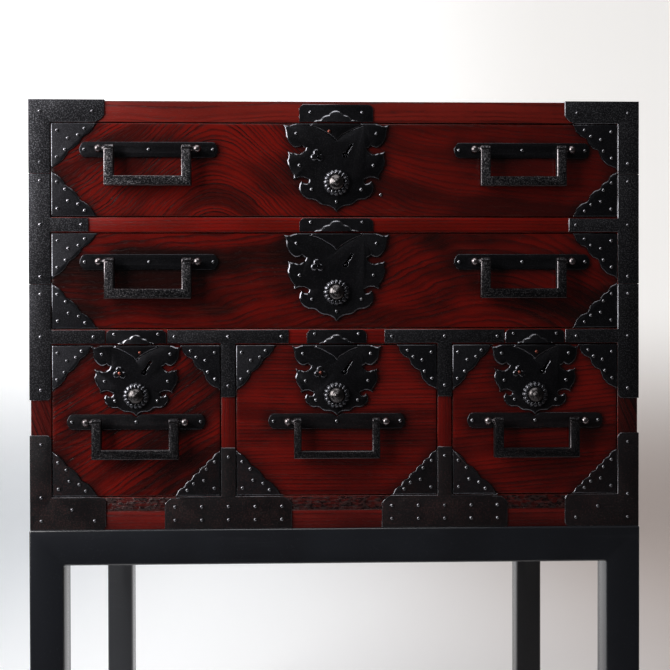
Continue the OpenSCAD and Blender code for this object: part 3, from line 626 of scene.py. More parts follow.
@dataclass(frozen=True)
class RedLacquer(Finish):
    """Dark red lacquer that lets the figured wood show through.

    Attributes:
        name: The material's name.
        grain: How the wood's rings show.
        bright: The colour of the light wood.
        middle: The colour of the clouded wood.
        dark: The colour of the late wood's lines.
        wear: How much of the surface is scuffed.
        scuffed: The lowest and the highest level of a scuffed strip, in millimetres above the
            case's foot.
        fade: How much darker the wood gets towards its right end.
        handled: How much darker the wood is painted along its front edge, as painted shade.
    """

    name: str
    grain: Grain
    bright: str = "6a1610"
    middle: str = "430f0c"
    dark: str = "160808"
    wear: float = 0.12
    scuffed: tuple[float, float] | None = None
    fade: float = 0.0
    handled: float = 0.0

    SHADED_END = "190808"
    SHADED_EDGE = "120808"
    PORE = "120707"
    SHADE_AND_GRIME_BY_IRON = "150909"
    SCRATCH = "7a3a30"
    DUST = "573530"
    SCUFFED_GROUND = "1d0b0b"
    SCUFFED_LUMP = "130a0b"
    SCUFFED_SPECK = "6a5452"

    def paint(self, tree: Surface) -> None:
        """Fills the material's tree.

        Args:
            tree: The material's tree.
        """
        place, effects = tree.place, tree.effects
        _, inward, level = tree.axes(place)
        moved = tree.mapped(place, shift=tuple(-c for c in self.grain.centre))
        wood = self.grain.laid(tree, moved)
        base = tree.blend(wood["Cloud"], shade(self.middle), shade(self.bright))
        lines = tree.times(wood["Rings"], self.grain.depth)
        if self.fade:
            right = tree.spread(tree.axes(moved)[0], 0.0, 0.3, 0.0, self.fade)
            lines = tree.times(lines, tree.linear(right, -1.5, 1.0))
            base = tree.tint(base, self.SHADED_END, right)
        base = tree.tint(base, self.dark, lines)
        base = tree.tint(base, self.PORE, wood["Pores"], 0.5)
        # Painted shade along the board's front edge.
        if self.handled:
            edge = tree.spread(inward, FRONT_Y + 1 * MM, FRONT_Y + 14 * MM, self.handled, 0.0)
            base = tree.tint(base, self.SHADED_EDGE, edge)
        # Painted shade, with some grime, darkens the wood beside the irons, broken up by a noise.
        near = tree.add("ShaderNodeAttribute", {"attribute_name": NEAR_IRON}).outputs["Fac"]
        shade_break_up = tree.spread(tree.noise(place, 33.0), 0.3, 0.65, 0.45)
        base = tree.tint(base, self.SHADE_AND_GRIME_BY_IRON, near, shade_break_up, 0.8)
        marks = tree.use(effects.scratches, Vector=place, Amount=0.6)["Scratch"]
        dust = tree.use(effects.grime, Vector=place, Amount=self.wear, Size=48.0, Grain=520.0)
        base = tree.tint(base, self.SCRATCH, marks, self.wear)
        base = tree.tint(base, self.DUST, dust["Specks"], 0.35)
        ripple = tree.noise(place, 26.0, 1.0)
        height = tree.plus(wood["Height"], tree.times(ripple, 1.6))
        if self.scuffed:
            low, high = (CASE_FOOT + z * MM for z in self.scuffed)
            strip = tree.times(tree.spread(level, low - 0.6 * MM, low + 0.6 * MM),
                               tree.spread(level, high - 2 * MM, high, 1.0, 0.2))
            worn = tree.use(effects.grime, Vector=tree.mapped(place, (0.5, 1, 1)), Amount=0.75,
                            Size=190.0, Grain=430.0)
            lumps = tree.times(worn["Patch"], strip)
            base = tree.tint(base, self.SCUFFED_GROUND, strip, 0.5)
            base = tree.tint(base, self.SCUFFED_LUMP, lumps, 0.9)
            base = tree.tint(base, self.SCUFFED_SPECK, worn["Specks"], strip, 0.15)
            height = tree.plus(height, tree.times(lumps, 2.2))
        tree.coat(Base_Color=base, Roughness=tree.linear(wood["Pores"], 0.16, 0.24),
                  Specular_IOR_Level=0.35, Coat_Weight=0.12, Coat_Roughness=0.08)
        tree.bump(height, 0.12)


@dataclass(frozen=True)
class BareWood(Finish):
    """Planed pale softwood without lacquer, for the drawers' boxes and the back.

    Attributes:
        name: The material's name.
        grain: How the wood's rings show.
        light: The colour of the early wood.
        late: The colour of the rings.
    """

    name: str
    grain: Grain
    light: str = "b3905f"
    late: str = "7d5733"

    CLOUD = "a07c4e"
    STAIN = "6b4f33"
    SPECK = "4a3522"

    def paint(self, tree: Surface) -> None:
        """Fills the material's tree.

        Args:
            tree: The material's tree.
        """
        wood = self.grain.laid(tree, tree.place)
        base = tree.blend(wood["Cloud"], shade(self.CLOUD), shade(self.light))
        base = tree.tint(base, self.late, wood["Rings"], 0.7)
        stain = tree.use(tree.effects.grime, Vector=tree.place, Amount=0.7, Size=9.0, Grain=600.0)
        base = tree.tint(base, self.STAIN, stain["Patch"], 0.16)
        base = tree.tint(base, self.SPECK, stain["Specks"], 0.3)
        tree.coat(Base_Color=base, Roughness=tree.linear(wood["Pores"], 0.15, 0.6))
        tree.bump(wood["Height"], 0.15)


@dataclass(frozen=True)
class Iron(Finish):
    """Blackened wrought iron with hammer marks, rubbed edges, some rust and, where set, painted
    shade low down.

    Attributes:
        name: The material's name.
        black: The colour of the blackened skin.
        worn: The colour where the skin is rubbed thin.
        rub: How much of the surface is rubbed.
        rust: How strongly rust shows low on the case.
        rust_all: How strongly rust shows everywhere.
        depth: The depth of the marks, in millimetres.
        dents: How many dents there are in a metre.
        rough: The plain roughness.
        metal: How metallic the skin is.
        dust: How strongly dust specks show.
        matt: How matt and brown the iron gets low on the case.
        low_light_and_rub: The share of the light and of the rubbed look that is left low on the
            case, the rest being painted shade. Below 1, both also get less towards the case's right
            end.
    """

    name: str
    black: str = "232327"
    worn: str = "4d4d53"
    rub: float = 0.3
    rust: float = 0.55
    rust_all: float = 0.06
    depth: float = 0.12
    dents: float = 120.0
    rough: float = 0.42
    metal: float = 0.8
    dust: float = 0.12
    matt: float = 1.0
    low_light_and_rub: float = 1.0

    SCALE = "17171a"
    LEFT_PATINA = "0b090a"
    RIGHT_PATINA = "211a1b"
    LOW_WORN = "382a2d"
    SHADED_IRON = "151517"
    RUST = "1c1111"
    RUST_SPECK = "4c3030"
    DUST = "7d7a76"

    def paint(self, tree: Surface) -> None:
        """Fills the material's tree.

        Args:
            tree: The material's tree.
        """
        place, effects = tree.place, tree.effects
        across, _, level = tree.axes(place)
        skin = tree.use(effects.forged, Vector=place, Dents=self.dents, Speckle=850.0)
        base = tree.tint(shade(self.black), self.SCALE, skin["Tone"], 0.5)
        low = tree.spread(level, *RUST_LEVELS, self.rust, self.rust_all)
        brown = tree.spread(level, *PATINA_LEVELS, self.matt, 0.0)
        patina = tree.blend(tree.spread(across, -SIDE_X, SIDE_X), shade(self.LEFT_PATINA),
                            shade(self.RIGHT_PATINA))
        base = tree.blend(tree.times(brown, 0.85), base, patina)
        rubbed = tree.tint(shade(self.worn), self.LOW_WORN, brown)
        # Painted shade: low on the case and towards its right end the iron is painted darker and
        # shows fewer rubbed specks.
        handled = tree.spread(level, *PAINTED_SHADE_LEVELS, self.low_light_and_rub, 1.0)
        if self.low_light_and_rub < 1.0:
            least = 0.5 + 0.4 * self.low_light_and_rub
            handled = tree.times(handled, tree.spread(across, 0.0, 0.27, 1.0, least))
        base = tree.tint(base, self.SHADED_IRON, tree.linear(handled, -1.0, 1.0))
        base = tree.blend(tree.times(skin["Speck"], self.rub, handled), base, rubbed)
        rust = tree.use(effects.grime, Vector=place, Amount=tree.linear(low, 0.6, 0.25), Size=55.0,
                        Grain=640.0)
        base = tree.tint(base, self.RUST, rust["Patch"], tree.times(low, 0.9))
        base = tree.tint(base, self.RUST_SPECK, rust["Specks"], tree.times(low, 0.6))
        dust = tree.use(effects.grime, Vector=tree.mapped(place, shift=(4, 4, 4)), Amount=0.2,
                        Size=40.0, Grain=900.0)
        base = tree.tint(base, self.DUST, dust["Specks"], self.dust)
        duller = tree.times(rust["Patch"], tree.times(low, 0.25))
        rough = tree.plus(tree.linear(skin["Tone"], 0.12, self.rough), duller)
        bright = tree.times(tree.linear(brown, -0.6, 1.0), self.metal)
        tree.coat(Base_Color=base, Roughness=rough, Metallic=bright, Specular_IOR_Level=0.25)
        tree.bump(skin["Height"], self.depth)


@dataclass(frozen=True)
class BlackLacquer(Finish):
    """Satin black lacquer of the stand, faintly blue, with dust and soft brush waves.

    Attributes:
        name: The material's name.
        colour: The lacquer's colour.
        shine: How strongly it reflects.
    """

    name: str = "black lacquer"
    colour: str = "1c1d21"
    shine: float = 0.4

    CLOUD = "202227"
    DUST = "3c3e43"
    SCRATCH = "33353a"

    def paint(self, tree: Surface) -> None:
        """Fills the material's tree.

        Args:
            tree: The material's tree.
        """
        place, effects = tree.place, tree.effects
        cloud = tree.spread(tree.noise(tree.mapped(place, (1, 1, 0.3)), 9.0, 3.0), 0.35, 0.65)
        base = tree.tint(shade(self.colour), self.CLOUD, cloud)
        dust = tree.use(effects.grime, Vector=place, Amount=0.22, Size=30.0, Grain=420.0)
        marks = tree.use(effects.scratches, Vector=place, Amount=0.25)
        base = tree.tint(base, self.DUST, dust["Specks"], 0.15)
        base = tree.tint(base, self.SCRATCH, marks["Scratch"], 0.5)
        tree.coat(Base_Color=base, Roughness=tree.linear(cloud, 0.04, 0.2),
                  Specular_IOR_Level=self.shine)
        tree.bump(tree.noise(tree.mapped(place, (1, 1, 0.25)), 130.0), 0.03)


@dataclass(frozen=True)
class StudioPaper(Finish):
    """Pale paper of the floor and backdrop, which shows near white and keeps the shadow.

    Attributes:
        name: The material's name.
        lift: How much of the white is added on the floor, for the camera and for reflections.
        rise: How much more is added on the backdrop.
    """

    name: str = "studio paper"
    lift: float = 0.5
    rise: float = 0.38

    FLOOR = "e2e3e5"
    FLOOR_LEFT_SHADE = "cdd0d4"
    FLOOR_SHADOW = "a59a95"
    WALL = "fbfbfb"
    WALL_SHADOW = "e0dedc"
    FIBRE = "c8c8c8"

    def paint(self, tree: Surface) -> None:
        """Fills the material's tree.

        Args:
            tree: The material's tree.
        """
        x, y, z = tree.axes(tree.place)
        # Painted shadow darkens the paper towards the right, and painted shade greys the floor's
        # far left.
        right = tree.spread(x, -0.3, 1.0)
        left = tree.spread(x, -0.8, -0.25, 1.0, 0.0)
        high = tree.spread(z, 0.0, 0.7)
        floor = tree.tint(shade(self.FLOOR), self.FLOOR_SHADOW, right)
        floor = tree.tint(floor, self.FLOOR_LEFT_SHADE, left)
        wall = tree.tint(shade(self.WALL), self.WALL_SHADOW, right)
        paper = tree.blend(high, floor, wall)
        paper = tree.tint(paper, self.FIBRE, tree.noise(tree.place, 60.0, 3.0), 0.04)
        front = tree.spread(y, -0.62, -0.2, 1.0, 0.0)
        rim = tree.highest(front, tree.spread(tree.math("ABSOLUTE", x), 1.6, 3.0))
        rays = tree.add("ShaderNodeLightPath").outputs
        mirrored = tree.highest(rays["Is Glossy Ray"], rays["Is Transmission Ray"])
        behind = tree.spread(y, -0.2, 0.4)
        seen = tree.highest(rays["Is Camera Ray"], tree.times(mirrored, behind))
        lift = tree.linear(high, self.rise, self.lift)
        lift = tree.math("MULTIPLY_ADD", rim, tree.minus(1.0, lift), lift)
        tree.coat(Base_Color=paper, Roughness=0.9, Specular_IOR_Level=0.1,
                  Emission_Color=tree.blend(rim, paper, WHITE),
                  Emission_Strength=tree.times(seen, lift))


class Slot(Enum):
    """The record's names for the finishes of the pieces that stand for nodes."""

    RED = "red_lacquered_wood"
    BLACK_IRON = "black_iron"
    HAMMERED = "hammered_iron"
    NAIL = "nail_iron"
    BRONZE = "dark_bronze"
    STAND = "black_lacquer"


SHEET_IRON = Iron("sheet iron", black="303034", worn="94949b", rub=0.5, depth=0.26,
                  low_light_and_rub=0.55)
LEAF_IRON = Iron("corner leaf iron", black="232327", worn="55555b", rub=0.3, depth=0.14,
                 rough=0.4, dust=0.05, matt=0.45)
RUBBED_EDGE = Iron("rubbed iron edge", black="8e8e94", worn="b6b6bc", rub=0.5, depth=0.04,
                   rough=0.15, metal=1.0, rust=0.3, rust_all=0.0, dust=0.0, matt=0.15)
RIM_IRON = Iron("raised iron rim", black="6a6a70", worn="9a9aa0", rub=0.4, depth=0.03,
                rough=0.13, metal=1.0, rust=0.25, rust_all=0.05, dust=0.0, matt=0.1)
PETAL_IRON = Iron("petal iron", black="66666c", worn="a0a0a6", rub=0.4, depth=0.03,
                  rough=0.19, metal=1.0, rust=0.2, rust_all=0.1, dust=0.0, matt=0.0)
PLATE_EDGE = Iron("handle plate edge", black="45454a", worn="707076", rub=0.4, depth=0.04,
                  rough=0.2, metal=1.0, rust=0.1, rust_all=0.0, dust=0.0, matt=0.1)
LEAF_EDGE = Iron("corner leaf edge", black="6c6c72", worn="a8a8ae", rub=0.5, depth=0.03,
                 rough=0.13, metal=1.0, rust=0.1, rust_all=0.0, dust=0.0, matt=0.0)
LOCK_IRON = Iron("lock iron", black="1f1f22", worn="46464c", rub=0.3, rust_all=0.1, depth=0.16,
                 dents=160.0, rough=0.36, dust=0.06)
BAIL_IRON = Iron("hammered bail iron", black="27272b", worn="bab6ba", rub=0.65, rust_all=0.15,
                 rust=0.3, depth=0.42, dents=260.0, rough=0.4, metal=0.85, matt=0.2, low_light_and_rub=0.35)
BAIL_EDGE = Iron("rubbed bail edge", black="787275", worn="b0a9ac", rub=0.5, rust_all=0.1,
                 rust=0.3, depth=0.06, dents=260.0, rough=0.16, metal=1.0, dust=0.0, matt=0.2,
                 low_light_and_rub=0.5)
NAIL_IRON = Iron("nail iron", black="9a9aa0", worn="c0c0c6", rub=0.4, depth=0.02, dents=700.0,
                 rough=0.17, metal=1.0, rust=0.3, rust_all=0.15, dust=0.0, matt=0.15)
RIVET_COPPER = Iron("brown rivet", black="96564a", worn="b57a6a", rub=0.4, depth=0.02, dents=700.0,
                    rough=0.3, metal=1.0, rust=0.1, rust_all=0.0, dust=0.0, matt=0.0)
POST_IRON = Iron("eye post iron", black="8f8688", worn="c6bfc1", rub=0.4, depth=0.05, dents=420.0,
                 rough=0.22, metal=1.0, rust=0.3, rust_all=0.2, dust=0.0, matt=0.1)
BOSS_METAL = Iron("boss bronze", black="5e5a5a", worn="8f8b8b", rub=0.35, rust_all=0.2, rust=0.2,
                  depth=0.06, dents=420.0, rough=0.2, metal=1.0, dust=0.0, matt=0.0)
# Board edges are painted lighter than the faces, a painted highlight along them, and carry more
# real scratches and dust.
EDGE_LACQUER = RedLacquer("lacquered edge", Grain(swirl=3, ripple=1), "7d2118", "571510",
                          "1d0a09", wear=0.3)
BOX_WOOD = BareWood("drawer wood", Grain(spacing=7, swirl=9, sharp=0.5))
BACK_WOOD = BareWood("back wood", Grain((0, 90, 0), spacing=8))
STAND_LACQUER = BlackLacquer()
# The stand's rounded edges are painted a little lighter than its faces, a painted highlight, and
# shine more.
STAND_EDGE = BlackLacquer("black lacquer edge", "282a2f", 1.0)


def linked(name: str, data: bpy.types.ID) -> bpy.types.Object:
    """Makes an object and links it to the scene.

    Args:
        name: The object's name.
        data: Its mesh, camera or lamp.

    Returns:
        The new object, at the origin.
    """
    made = bpy.data.objects.new(name, data)
    bpy.context.scene.collection.objects.link(made)
    return made


def piece_of(mesh: bmesh.types.BMesh, name: str, materials: Iterable[bpy.types.Material] = ()
             ) -> bpy.types.Object:
    """Makes an object of a mesh, at the origin.

    Args:
        mesh: The mesh, which is freed.
        name: The object's name.
        materials: The materials of its slots.

    Returns:
        The new object.
    """
    data = bpy.data.meshes.new(name)
    mesh.to_mesh(data)
    mesh.free()
    for material in materials:
        data.materials.append(material)
    return linked(name, data)


def point_cloud(points: Sequence[Vector], name: str) -> bpy.types.Object:
    """Makes an object of loose points.

    Args:
        points: The points.
        name: The object's name.

    Returns:
        The new object.
    """
    data = bpy.data.meshes.new(name)
    data.from_pydata(points, [], [])
    return linked(name, data)


def opened(piece: bpy.types.Object) -> bmesh.types.BMesh:
    """Opens a copy of an object's mesh for work.

    Args:
        piece: The object.

    Returns:
        The copy.
    """
    mesh = bmesh.new()
    mesh.from_mesh(piece.data)
    return mesh


def put_back(mesh: bmesh.types.BMesh, piece: bpy.types.Object) -> None:
    """Writes a worked mesh to its object and frees it."""
    mesh.to_mesh(piece.data)
    mesh.free()


def settle(source: bpy.types.Object, name: str) -> bpy.types.Object:
    """Turns an object with its modifiers into a plain mesh object.

    Args:
        source: The object, which is removed.
        name: The name of the result.

    Returns:
        The plain object.
    """
    bpy.context.view_layer.update()
    shaped = source.evaluated_get(bpy.context.evaluated_depsgraph_get())
    data = bpy.data.meshes.new_from_object(shaped)
    bpy.data.objects.remove(source)
    data.name = name
    return linked(name, data)


def joined(parts: Sequence[bpy.types.Object], name: str) -> bpy.types.Object:
    """Joins plain mesh objects into one, which keeps their materials.

    Args:
        parts: The objects, which are removed.
        name: The name of the result.

    Returns:
        The joined object.
    """
    mesh = bmesh.new()
    materials: list[bpy.types.Material] = []
    for part in parts:
        places = []
        for material in part.data.materials:
            if material not in materials:
                materials.append(material)
            places.append(materials.index(material))
        before = len(mesh.faces)
        mesh.from_mesh(part.data)
        mesh.faces.ensure_lookup_table()
        for face in mesh.faces[before:]:
            face.material_index = places[face.material_index]
        bpy.data.objects.remove(part)
    return piece_of(mesh, name, materials)


def simplify(mesh: bmesh.types.BMesh, gap: float) -> None:
    """Joins close points and clears the lines on flat faces.

    Args:
        mesh: The mesh.
        gap: The distance within which points are one, in metres.
    """
    bmesh.ops.remove_doubles(mesh, verts=mesh.verts, dist=gap)
    bmesh.ops.dissolve_limit(mesh, angle_limit=math.radians(FLAT_ANGLE), verts=mesh.verts,
                             edges=mesh.edges)


def front_faces(mesh: bmesh.types.BMesh, level: float | None = None) -> list[bmesh.types.BMFace]:
    """Finds the faces that look forward.

    Args:
        mesh: The mesh.
        level: The faces' place along Y, in metres, or None for any.

    Returns:
        The faces.
    """
    return [f for f in mesh.faces if f.normal.y < LOOKS_FORWARD
            and (level is None or abs(f.calc_center_median().y - level) < SAME_LEVEL)]


def outline_of(edges: Iterable[bmesh.types.BMEdge], faces: Iterable[bmesh.types.BMFace]
               ) -> dict[bmesh.types.BMVert, list[bmesh.types.BMVert]]:
    """Finds how the points round some faces follow one another.

    Args:
        edges: The edges that are looked at.
        faces: The faces.

    Returns:
        For each point of the outline its neighbours on it.
    """
    inside = set(faces)
    next_to: dict[bmesh.types.BMVert, list[bmesh.types.BMVert]] = {}
    for edge in edges:
        if sum(f in inside for f in edge.link_faces) == 1:
            for a, b in (edge.verts, reversed(edge.verts)):
                next_to.setdefault(a, []).append(b)
    return next_to


def islands(near: Mapping[Hashable, Iterable[Hashable]]) -> list[set[Hashable]]:
    """Sorts things that hang together into groups.

    Args:
        near: For each thing its neighbours.

    Returns:
        The groups.
    """
    left, groups = set(near), []
    while left:
        group, todo = set(), [left.pop()]
        while todo:
            thing = todo.pop()
            group.add(thing)
            fresh = left.intersection(near[thing])
            left -= fresh
            todo.extend(fresh)
        groups.append(group)
    return groups


def loose_parts(mesh: bmesh.types.BMesh) -> list[set[bmesh.types.BMVert]]:
    """Gives the points of each loose part of a mesh."""
    return islands({v: [e.other_vert(v) for e in v.link_edges] for v in mesh.verts})


def round_pairs(items: Sequence) -> list[tuple]:
    """Gives each item of a closed ring with the next one."""
    return list(zip(items, [*items[1:], items[0]]))


def box_of(points: Iterable[Vector]) -> tuple[Vector, Vector]:
    """Gives the lowest and the highest corner of the box round some points."""
    columns = list(zip(*points))
    return Vector(map(min, columns)), Vector(map(max, columns))


def span(points: Iterable[Vector], axis: int) -> float:
    """Gives the extent of points along an axis."""
    low, high = box_of(points)
    return high[axis] - low[axis]


def drawn_in(points: Sequence[Vector], inset: float) -> list[Vector]:
    """Moves a closed outline in X and Z towards its inside.

    Args:
        points: The outline.
        inset: The distance, in metres.

    Returns:
        The moved outline.
    """
    area = sum(a.x * b.z - b.x * a.z for a, b in round_pairs(points))
    side = 1 if area > 0 else -1
    sharpest = 0.55
    moved = []
    for last, point, following in zip([points[-1], *points[:-1]], points, [*points[1:], points[0]]):
        before = (point - last).normalized()
        after = (following - point).normalized()
        square = Vector((-before.z, 0, before.x)) * side
        normal = Vector((-(before + after).z, 0, (before + after).x)) * side
        if normal.length < 1e-9:
            normal = square.copy()
        normal.normalize()
        moved.append(point + normal * (inset / max(sharpest, abs(normal.dot(square)))))
    return moved


def turned(rings: Sequence[Sequence[Point]], top: float) -> bmesh.types.BMesh:
    """Closes rings of points, one above another, into a solid with a tip.

    Args:
        rings: The points of each ring, the lowest ring first, in millimetres.
        top: The tip's height, in millimetres.

    Returns:
        The closed mesh, in metres.
    """
    mesh = bmesh.new()
    rows = [[mesh.verts.new([c * MM for c in point]) for point in ring] for ring in rings]
    for low, high in zip(rows, rows[1:]):
        for (a, b), (c, d) in zip(round_pairs(low), round_pairs(high)):
            mesh.faces.new((a, b, d, c))
    tip = mesh.verts.new((0, 0, top * MM))
    for a, b in round_pairs(rows[-1]):
        mesh.faces.new((a, b, tip))
    mesh.faces.new(rows[0][::-1])
    return mesh


@dataclass(frozen=True)
class Rounding:
    """How a piece's edges are rounded.

    Attributes:
        width: The bevel's width, in millimetres.
        finish: The finish of the rounded edges, or None for the faces' own.
        steps: The bevel's steps.
        angle: The smallest angle of an edge that is rounded, in degrees.
    """

    width: float
    finish: Finish | None = None
    steps: int = 2
    angle: float = 35.0

    def materials(self, finish: Finish) -> list[bpy.types.Material]:
        """Gives the materials of a piece's faces and of its edges."""
        return [f.material() for f in (finish, self.finish) if f]


@dataclass(frozen=True)
class Slope:
    """A sloped rim round the faces that look forward at one level.

    Attributes:
        level: The faces' place along Y, in metres.
        width: The slope's width, in millimetres.
        drop: How far it drops back at the outline, in millimetres.
        smallest: The width of the narrowest outline that is sloped, in millimetres.
    """

    level: float
    width: float
    drop: float
    smallest: float

    def cut(self, mesh: bmesh.types.BMesh) -> None:
        """Slopes a mesh, and gives the slopes its second material.

        A straight slope that looks up keeps the first one.

        Args:
            mesh: The mesh.
        """
        mesh.normal_update()
        top = front_faces(mesh, self.level)
        if not top:
            return
        band = bmesh.ops.inset_region(mesh, faces=top, use_boundary=True, use_even_offset=True,
                                      thickness=self.width * MM)["faces"]
        next_to = outline_of({e for f in band for e in f.edges}, [*top, *band])
        pushed = set()
        for group in islands(next_to):
            if span((v.co for v in group), 0) > self.smallest * MM:
                pushed |= group
        for vert in pushed:
            vert.co.y += self.drop * MM
        mesh.normal_update()
        for face in band:
            straight_up = face.normal.z > LOOKS_UP and abs(face.normal.x) < LOOKS_ASIDE
            if any(v in pushed for v in face.verts) and not straight_up:
                face.material_index = 1


class Bench:
    """Work on copies of the frame's nodes, up to finished pieces."""

    def __init__(self, frame: dict) -> None:
        """Keeps the nodes of the frame, and each one's body.

        Args:
            frame: The loaded frame.
        """
        self.nodes = frame["nodes"]
        bodies = frame["record"]["behaviour"]["bodies"]
        self.body_of = {node: body for body, nodes in bodies.items() for node in nodes}

    def merged(self, node: str) -> bmesh.types.BMesh:
        """Copies a node's mesh, joins its loose triangles and clears lines on flat faces.

        Args:
            node: The node's name.

        Returns:
            The merged mesh.
        """
        mesh = opened(self.nodes[node])
        simplify(mesh, WELD)
        return mesh

    @staticmethod
    def bevelled(piece: bpy.types.Object, edges: Rounding) -> bpy.types.Object:
        """Rounds a piece's edges.

        Args:
            piece: The piece, which is replaced.
            edges: How the edges are rounded.

        Returns:
            The rounded piece.
        """
        name = piece.name
        piece.name = name + ".rough"
        bevel = piece.modifiers.new("edges", "BEVEL")
        bevel.width = edges.width * MM
        bevel.segments = edges.steps
        bevel.limit_method = "ANGLE"
        bevel.angle_limit = math.radians(edges.angle)
        bevel.use_clamp_overlap = False
        bevel.material = 1 if edges.finish else -1
        bevel.miter_outer = "MITER_ARC"
        made = settle(piece, name)
        mesh = opened(made)
        bmesh.ops.dissolve_degenerate(mesh, dist=WELD, edges=mesh.edges)
        put_back(mesh, made)
        return made

    @staticmethod
    def smooth(piece: bpy.types.Object, angle: float) -> None:
        """Shades a piece smooth, apart from broad flats and sharp edges.

        Args:
            piece: The piece.
            angle: The angle from which an edge stays sharp, in degrees.
        """
        piece.data.shade_smooth()
        for face in piece.data.polygons:
            if face.area > BROAD_FACE and max(abs(c) for c in face.normal) > SQUARE_ON:
                face.use_smooth = False
        piece.data.set_sharp_from_angle(angle=math.radians(angle))

    def hand_over(self, piece: bpy.types.Object, slot: Slot, body: str,
                  nodes: Sequence[str] = ()) -> bpy.types.Object:
        """Puts a finished piece on its body, and in the place of its nodes.

        Args:
            piece: The piece.
            slot: The record's slot of its finish. It is not used.
            body: The body that it rides on.
            nodes: The nodes that it stands for.

        Returns:
            The piece.
        """
        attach(piece, body)
        if nodes:
            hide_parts(*nodes)
        faces = sum(len(p.vertices) - 2 for p in piece.data.polygons)
        LOG.info("%s: %d triangles on %s", piece.name, faces, body)
        return piece

    def worked(self, node: str, name: str, finish: Finish, slot: Slot, edges: Rounding,
               slopes: Sequence[Slope] = (),
               last: Callable[[bpy.types.Object], None] | None = None) -> bpy.types.Object:
        """Makes the rounded copy that stands for one node.

        Args:
            node: The node's name.
            name: The piece's name.
            finish: The finish of its faces.
            slot: The record's slot of that finish.
            edges: How its edges are rounded.
            slopes: The rims that are sloped first.
            last: Work on the finished piece before it is handed over.

        Returns:
            The finished piece.
        """
        mesh = self.merged(node)
        for slope in slopes:
            slope.cut(mesh)
        made = self.bevelled(piece_of(mesh, name, edges.materials(finish)), edges)
        self.smooth(made, SLOPED_ANGLE if slopes else ROUNDED_ANGLE)
        if last:
            last(made)
        return self.hand_over(made, slot, self.body_of[node], [node])

    def mark_iron_shade(self, board: bpy.types.Object, irons: Sequence[str], reach: float = 12.0,
               step: float = 4.0, fall: float = 1.5) -> None:
        """Writes on a board's face how near each spot is to the irons on it, for the painted shade
        and grime beside them.

        Args:
            board: The board, whose face is cut into small squares.
            irons: The nodes of the irons.
            reach: The distance at which the nearness ends, in millimetres.
            step: The size of the squares, in millimetres.
            fall: The power with which the nearness falls off.
        """
        mesh = opened(board)
        corner = box_of(v.co for v in mesh.verts)
        for axis, across in ((0, Vector((1, 0, 0))), (2, Vector((0, 0, 1)))):
            low, high = (c[axis] for c in corner)
            count = int((high - low) / (step * MM))
            for i in range(1, count):
                faces = front_faces(mesh)
                near = {e for f in faces for e in f.edges}
                spots = {v for f in faces for v in f.verts}
                bmesh.ops.bisect_plane(mesh, geom=[*faces, *near, *spots], dist=ON_PLANE,
                                       plane_co=across * (low + i * (high - low) / count),
                                       plane_no=across)
        put_back(mesh, board)
        metal = bmesh.new()
        for node in irons:
            metal.from_mesh(self.nodes[node].data)
        tree = BVHTree.FromBMesh(metal)
        metal.free()
        gaps = [tree.find_nearest(v.co)[3] / (reach * MM) for v in board.data.vertices]
        mark = board.data.attributes.new(NEAR_IRON, "FLOAT", "POINT")
        mark.data.foreach_set("value", [max(0.0, 1.0 - gap) ** fall for gap in gaps])

    def dress(self, node: str, finish: Finish) -> None:
        """Gives a node that stays as it is a better material.

        Args:
            node: The node's name.
            finish: The finish.
        """
        for slot in self.nodes[node].material_slots:
            slot.link = "OBJECT"
            slot.material = finish.material()
        LOG.info("%s keeps its shape, in %s", node, finish.name)

    def loops_at(self, node: str, level: float, fewest: int = 6) -> list[list[Vector]]:
        """Finds the outlines of a node's faces that look forward at one level.

        Args:
            node: The node's name.
            level: The faces' place along Y, in metres.
            fewest: The points of the simplest outline that counts.

        Returns:
            The closed outlines, each as its points in order.
        """
        mesh = self.merged(node)
        mesh.normal_update()
        next_to = outline_of(mesh.edges, front_faces(mesh, level))
        loops, left = [], set(next_to)
        while left:
            start = min(left, key=lambda v: v.index)
            walk, before = [start], None
            while True:
                options = [v for v in next_to[walk[-1]] if v != before]
                if not options or options[0] in walk:
                    break
                before = walk[-1]
                walk.append(options[0])
            left -= set(walk)
            if len(walk) >= fewest:
                loops.append([v.co.copy() for v in walk])
        mesh.free()
        return loops


@dataclass(frozen=True)
class StrikeSize:
    """The sizes by which a strike plate is told from the case's other irons, in millimetres.

    Attributes:
        widths: It is wider than the first and narrower than the second.
        depth: It is less deep than this.
        height: It is lower than this.
    """

    widths: tuple[float, float] = (50, 90)
    depth: float = 9
    height: float = 26

    def fits(self, points: Iterable[Vector]) -> bool:
        """Compares the extent of points with a strike plate's.

        Args:
            points: The points.

        Returns:
            Whether they may be a strike plate's.
        """
        low, high = box_of(points)
        wide, deep, tall = (high - low) / MM
        return (self.widths[0] < wide < self.widths[1] and deep < self.depth
                and tall < self.height)


def blacken_strikes(irons: bpy.types.Object) -> None:
    """Gives the strike plates, among the case's irons, the locks' black finish.

    Args:
        irons: The piece with the case's irons.
    """
    irons.data.materials.append(LOCK_IRON.material())
    mesh = opened(irons)
    for part in loose_parts(mesh):
        if StrikeSize().fits(v.co for v in part):
            for face in {f for v in part for f in v.link_faces}:
                if face.material_index == 0:
                    face.material_index = 2
    put_back(mesh, irons)


def rub_posts(mounts: bpy.types.Object) -> None:
    """Gives the eye posts, which stand out from their plates, a finish of their own.

    Args:
        mounts: The piece with the handle's plates and posts.
    """
    mounts.data.materials.append(POST_IRON.material())
    for face in mounts.data.polygons:
        if face.center.y < POST_Y:
            face.material_index = 2


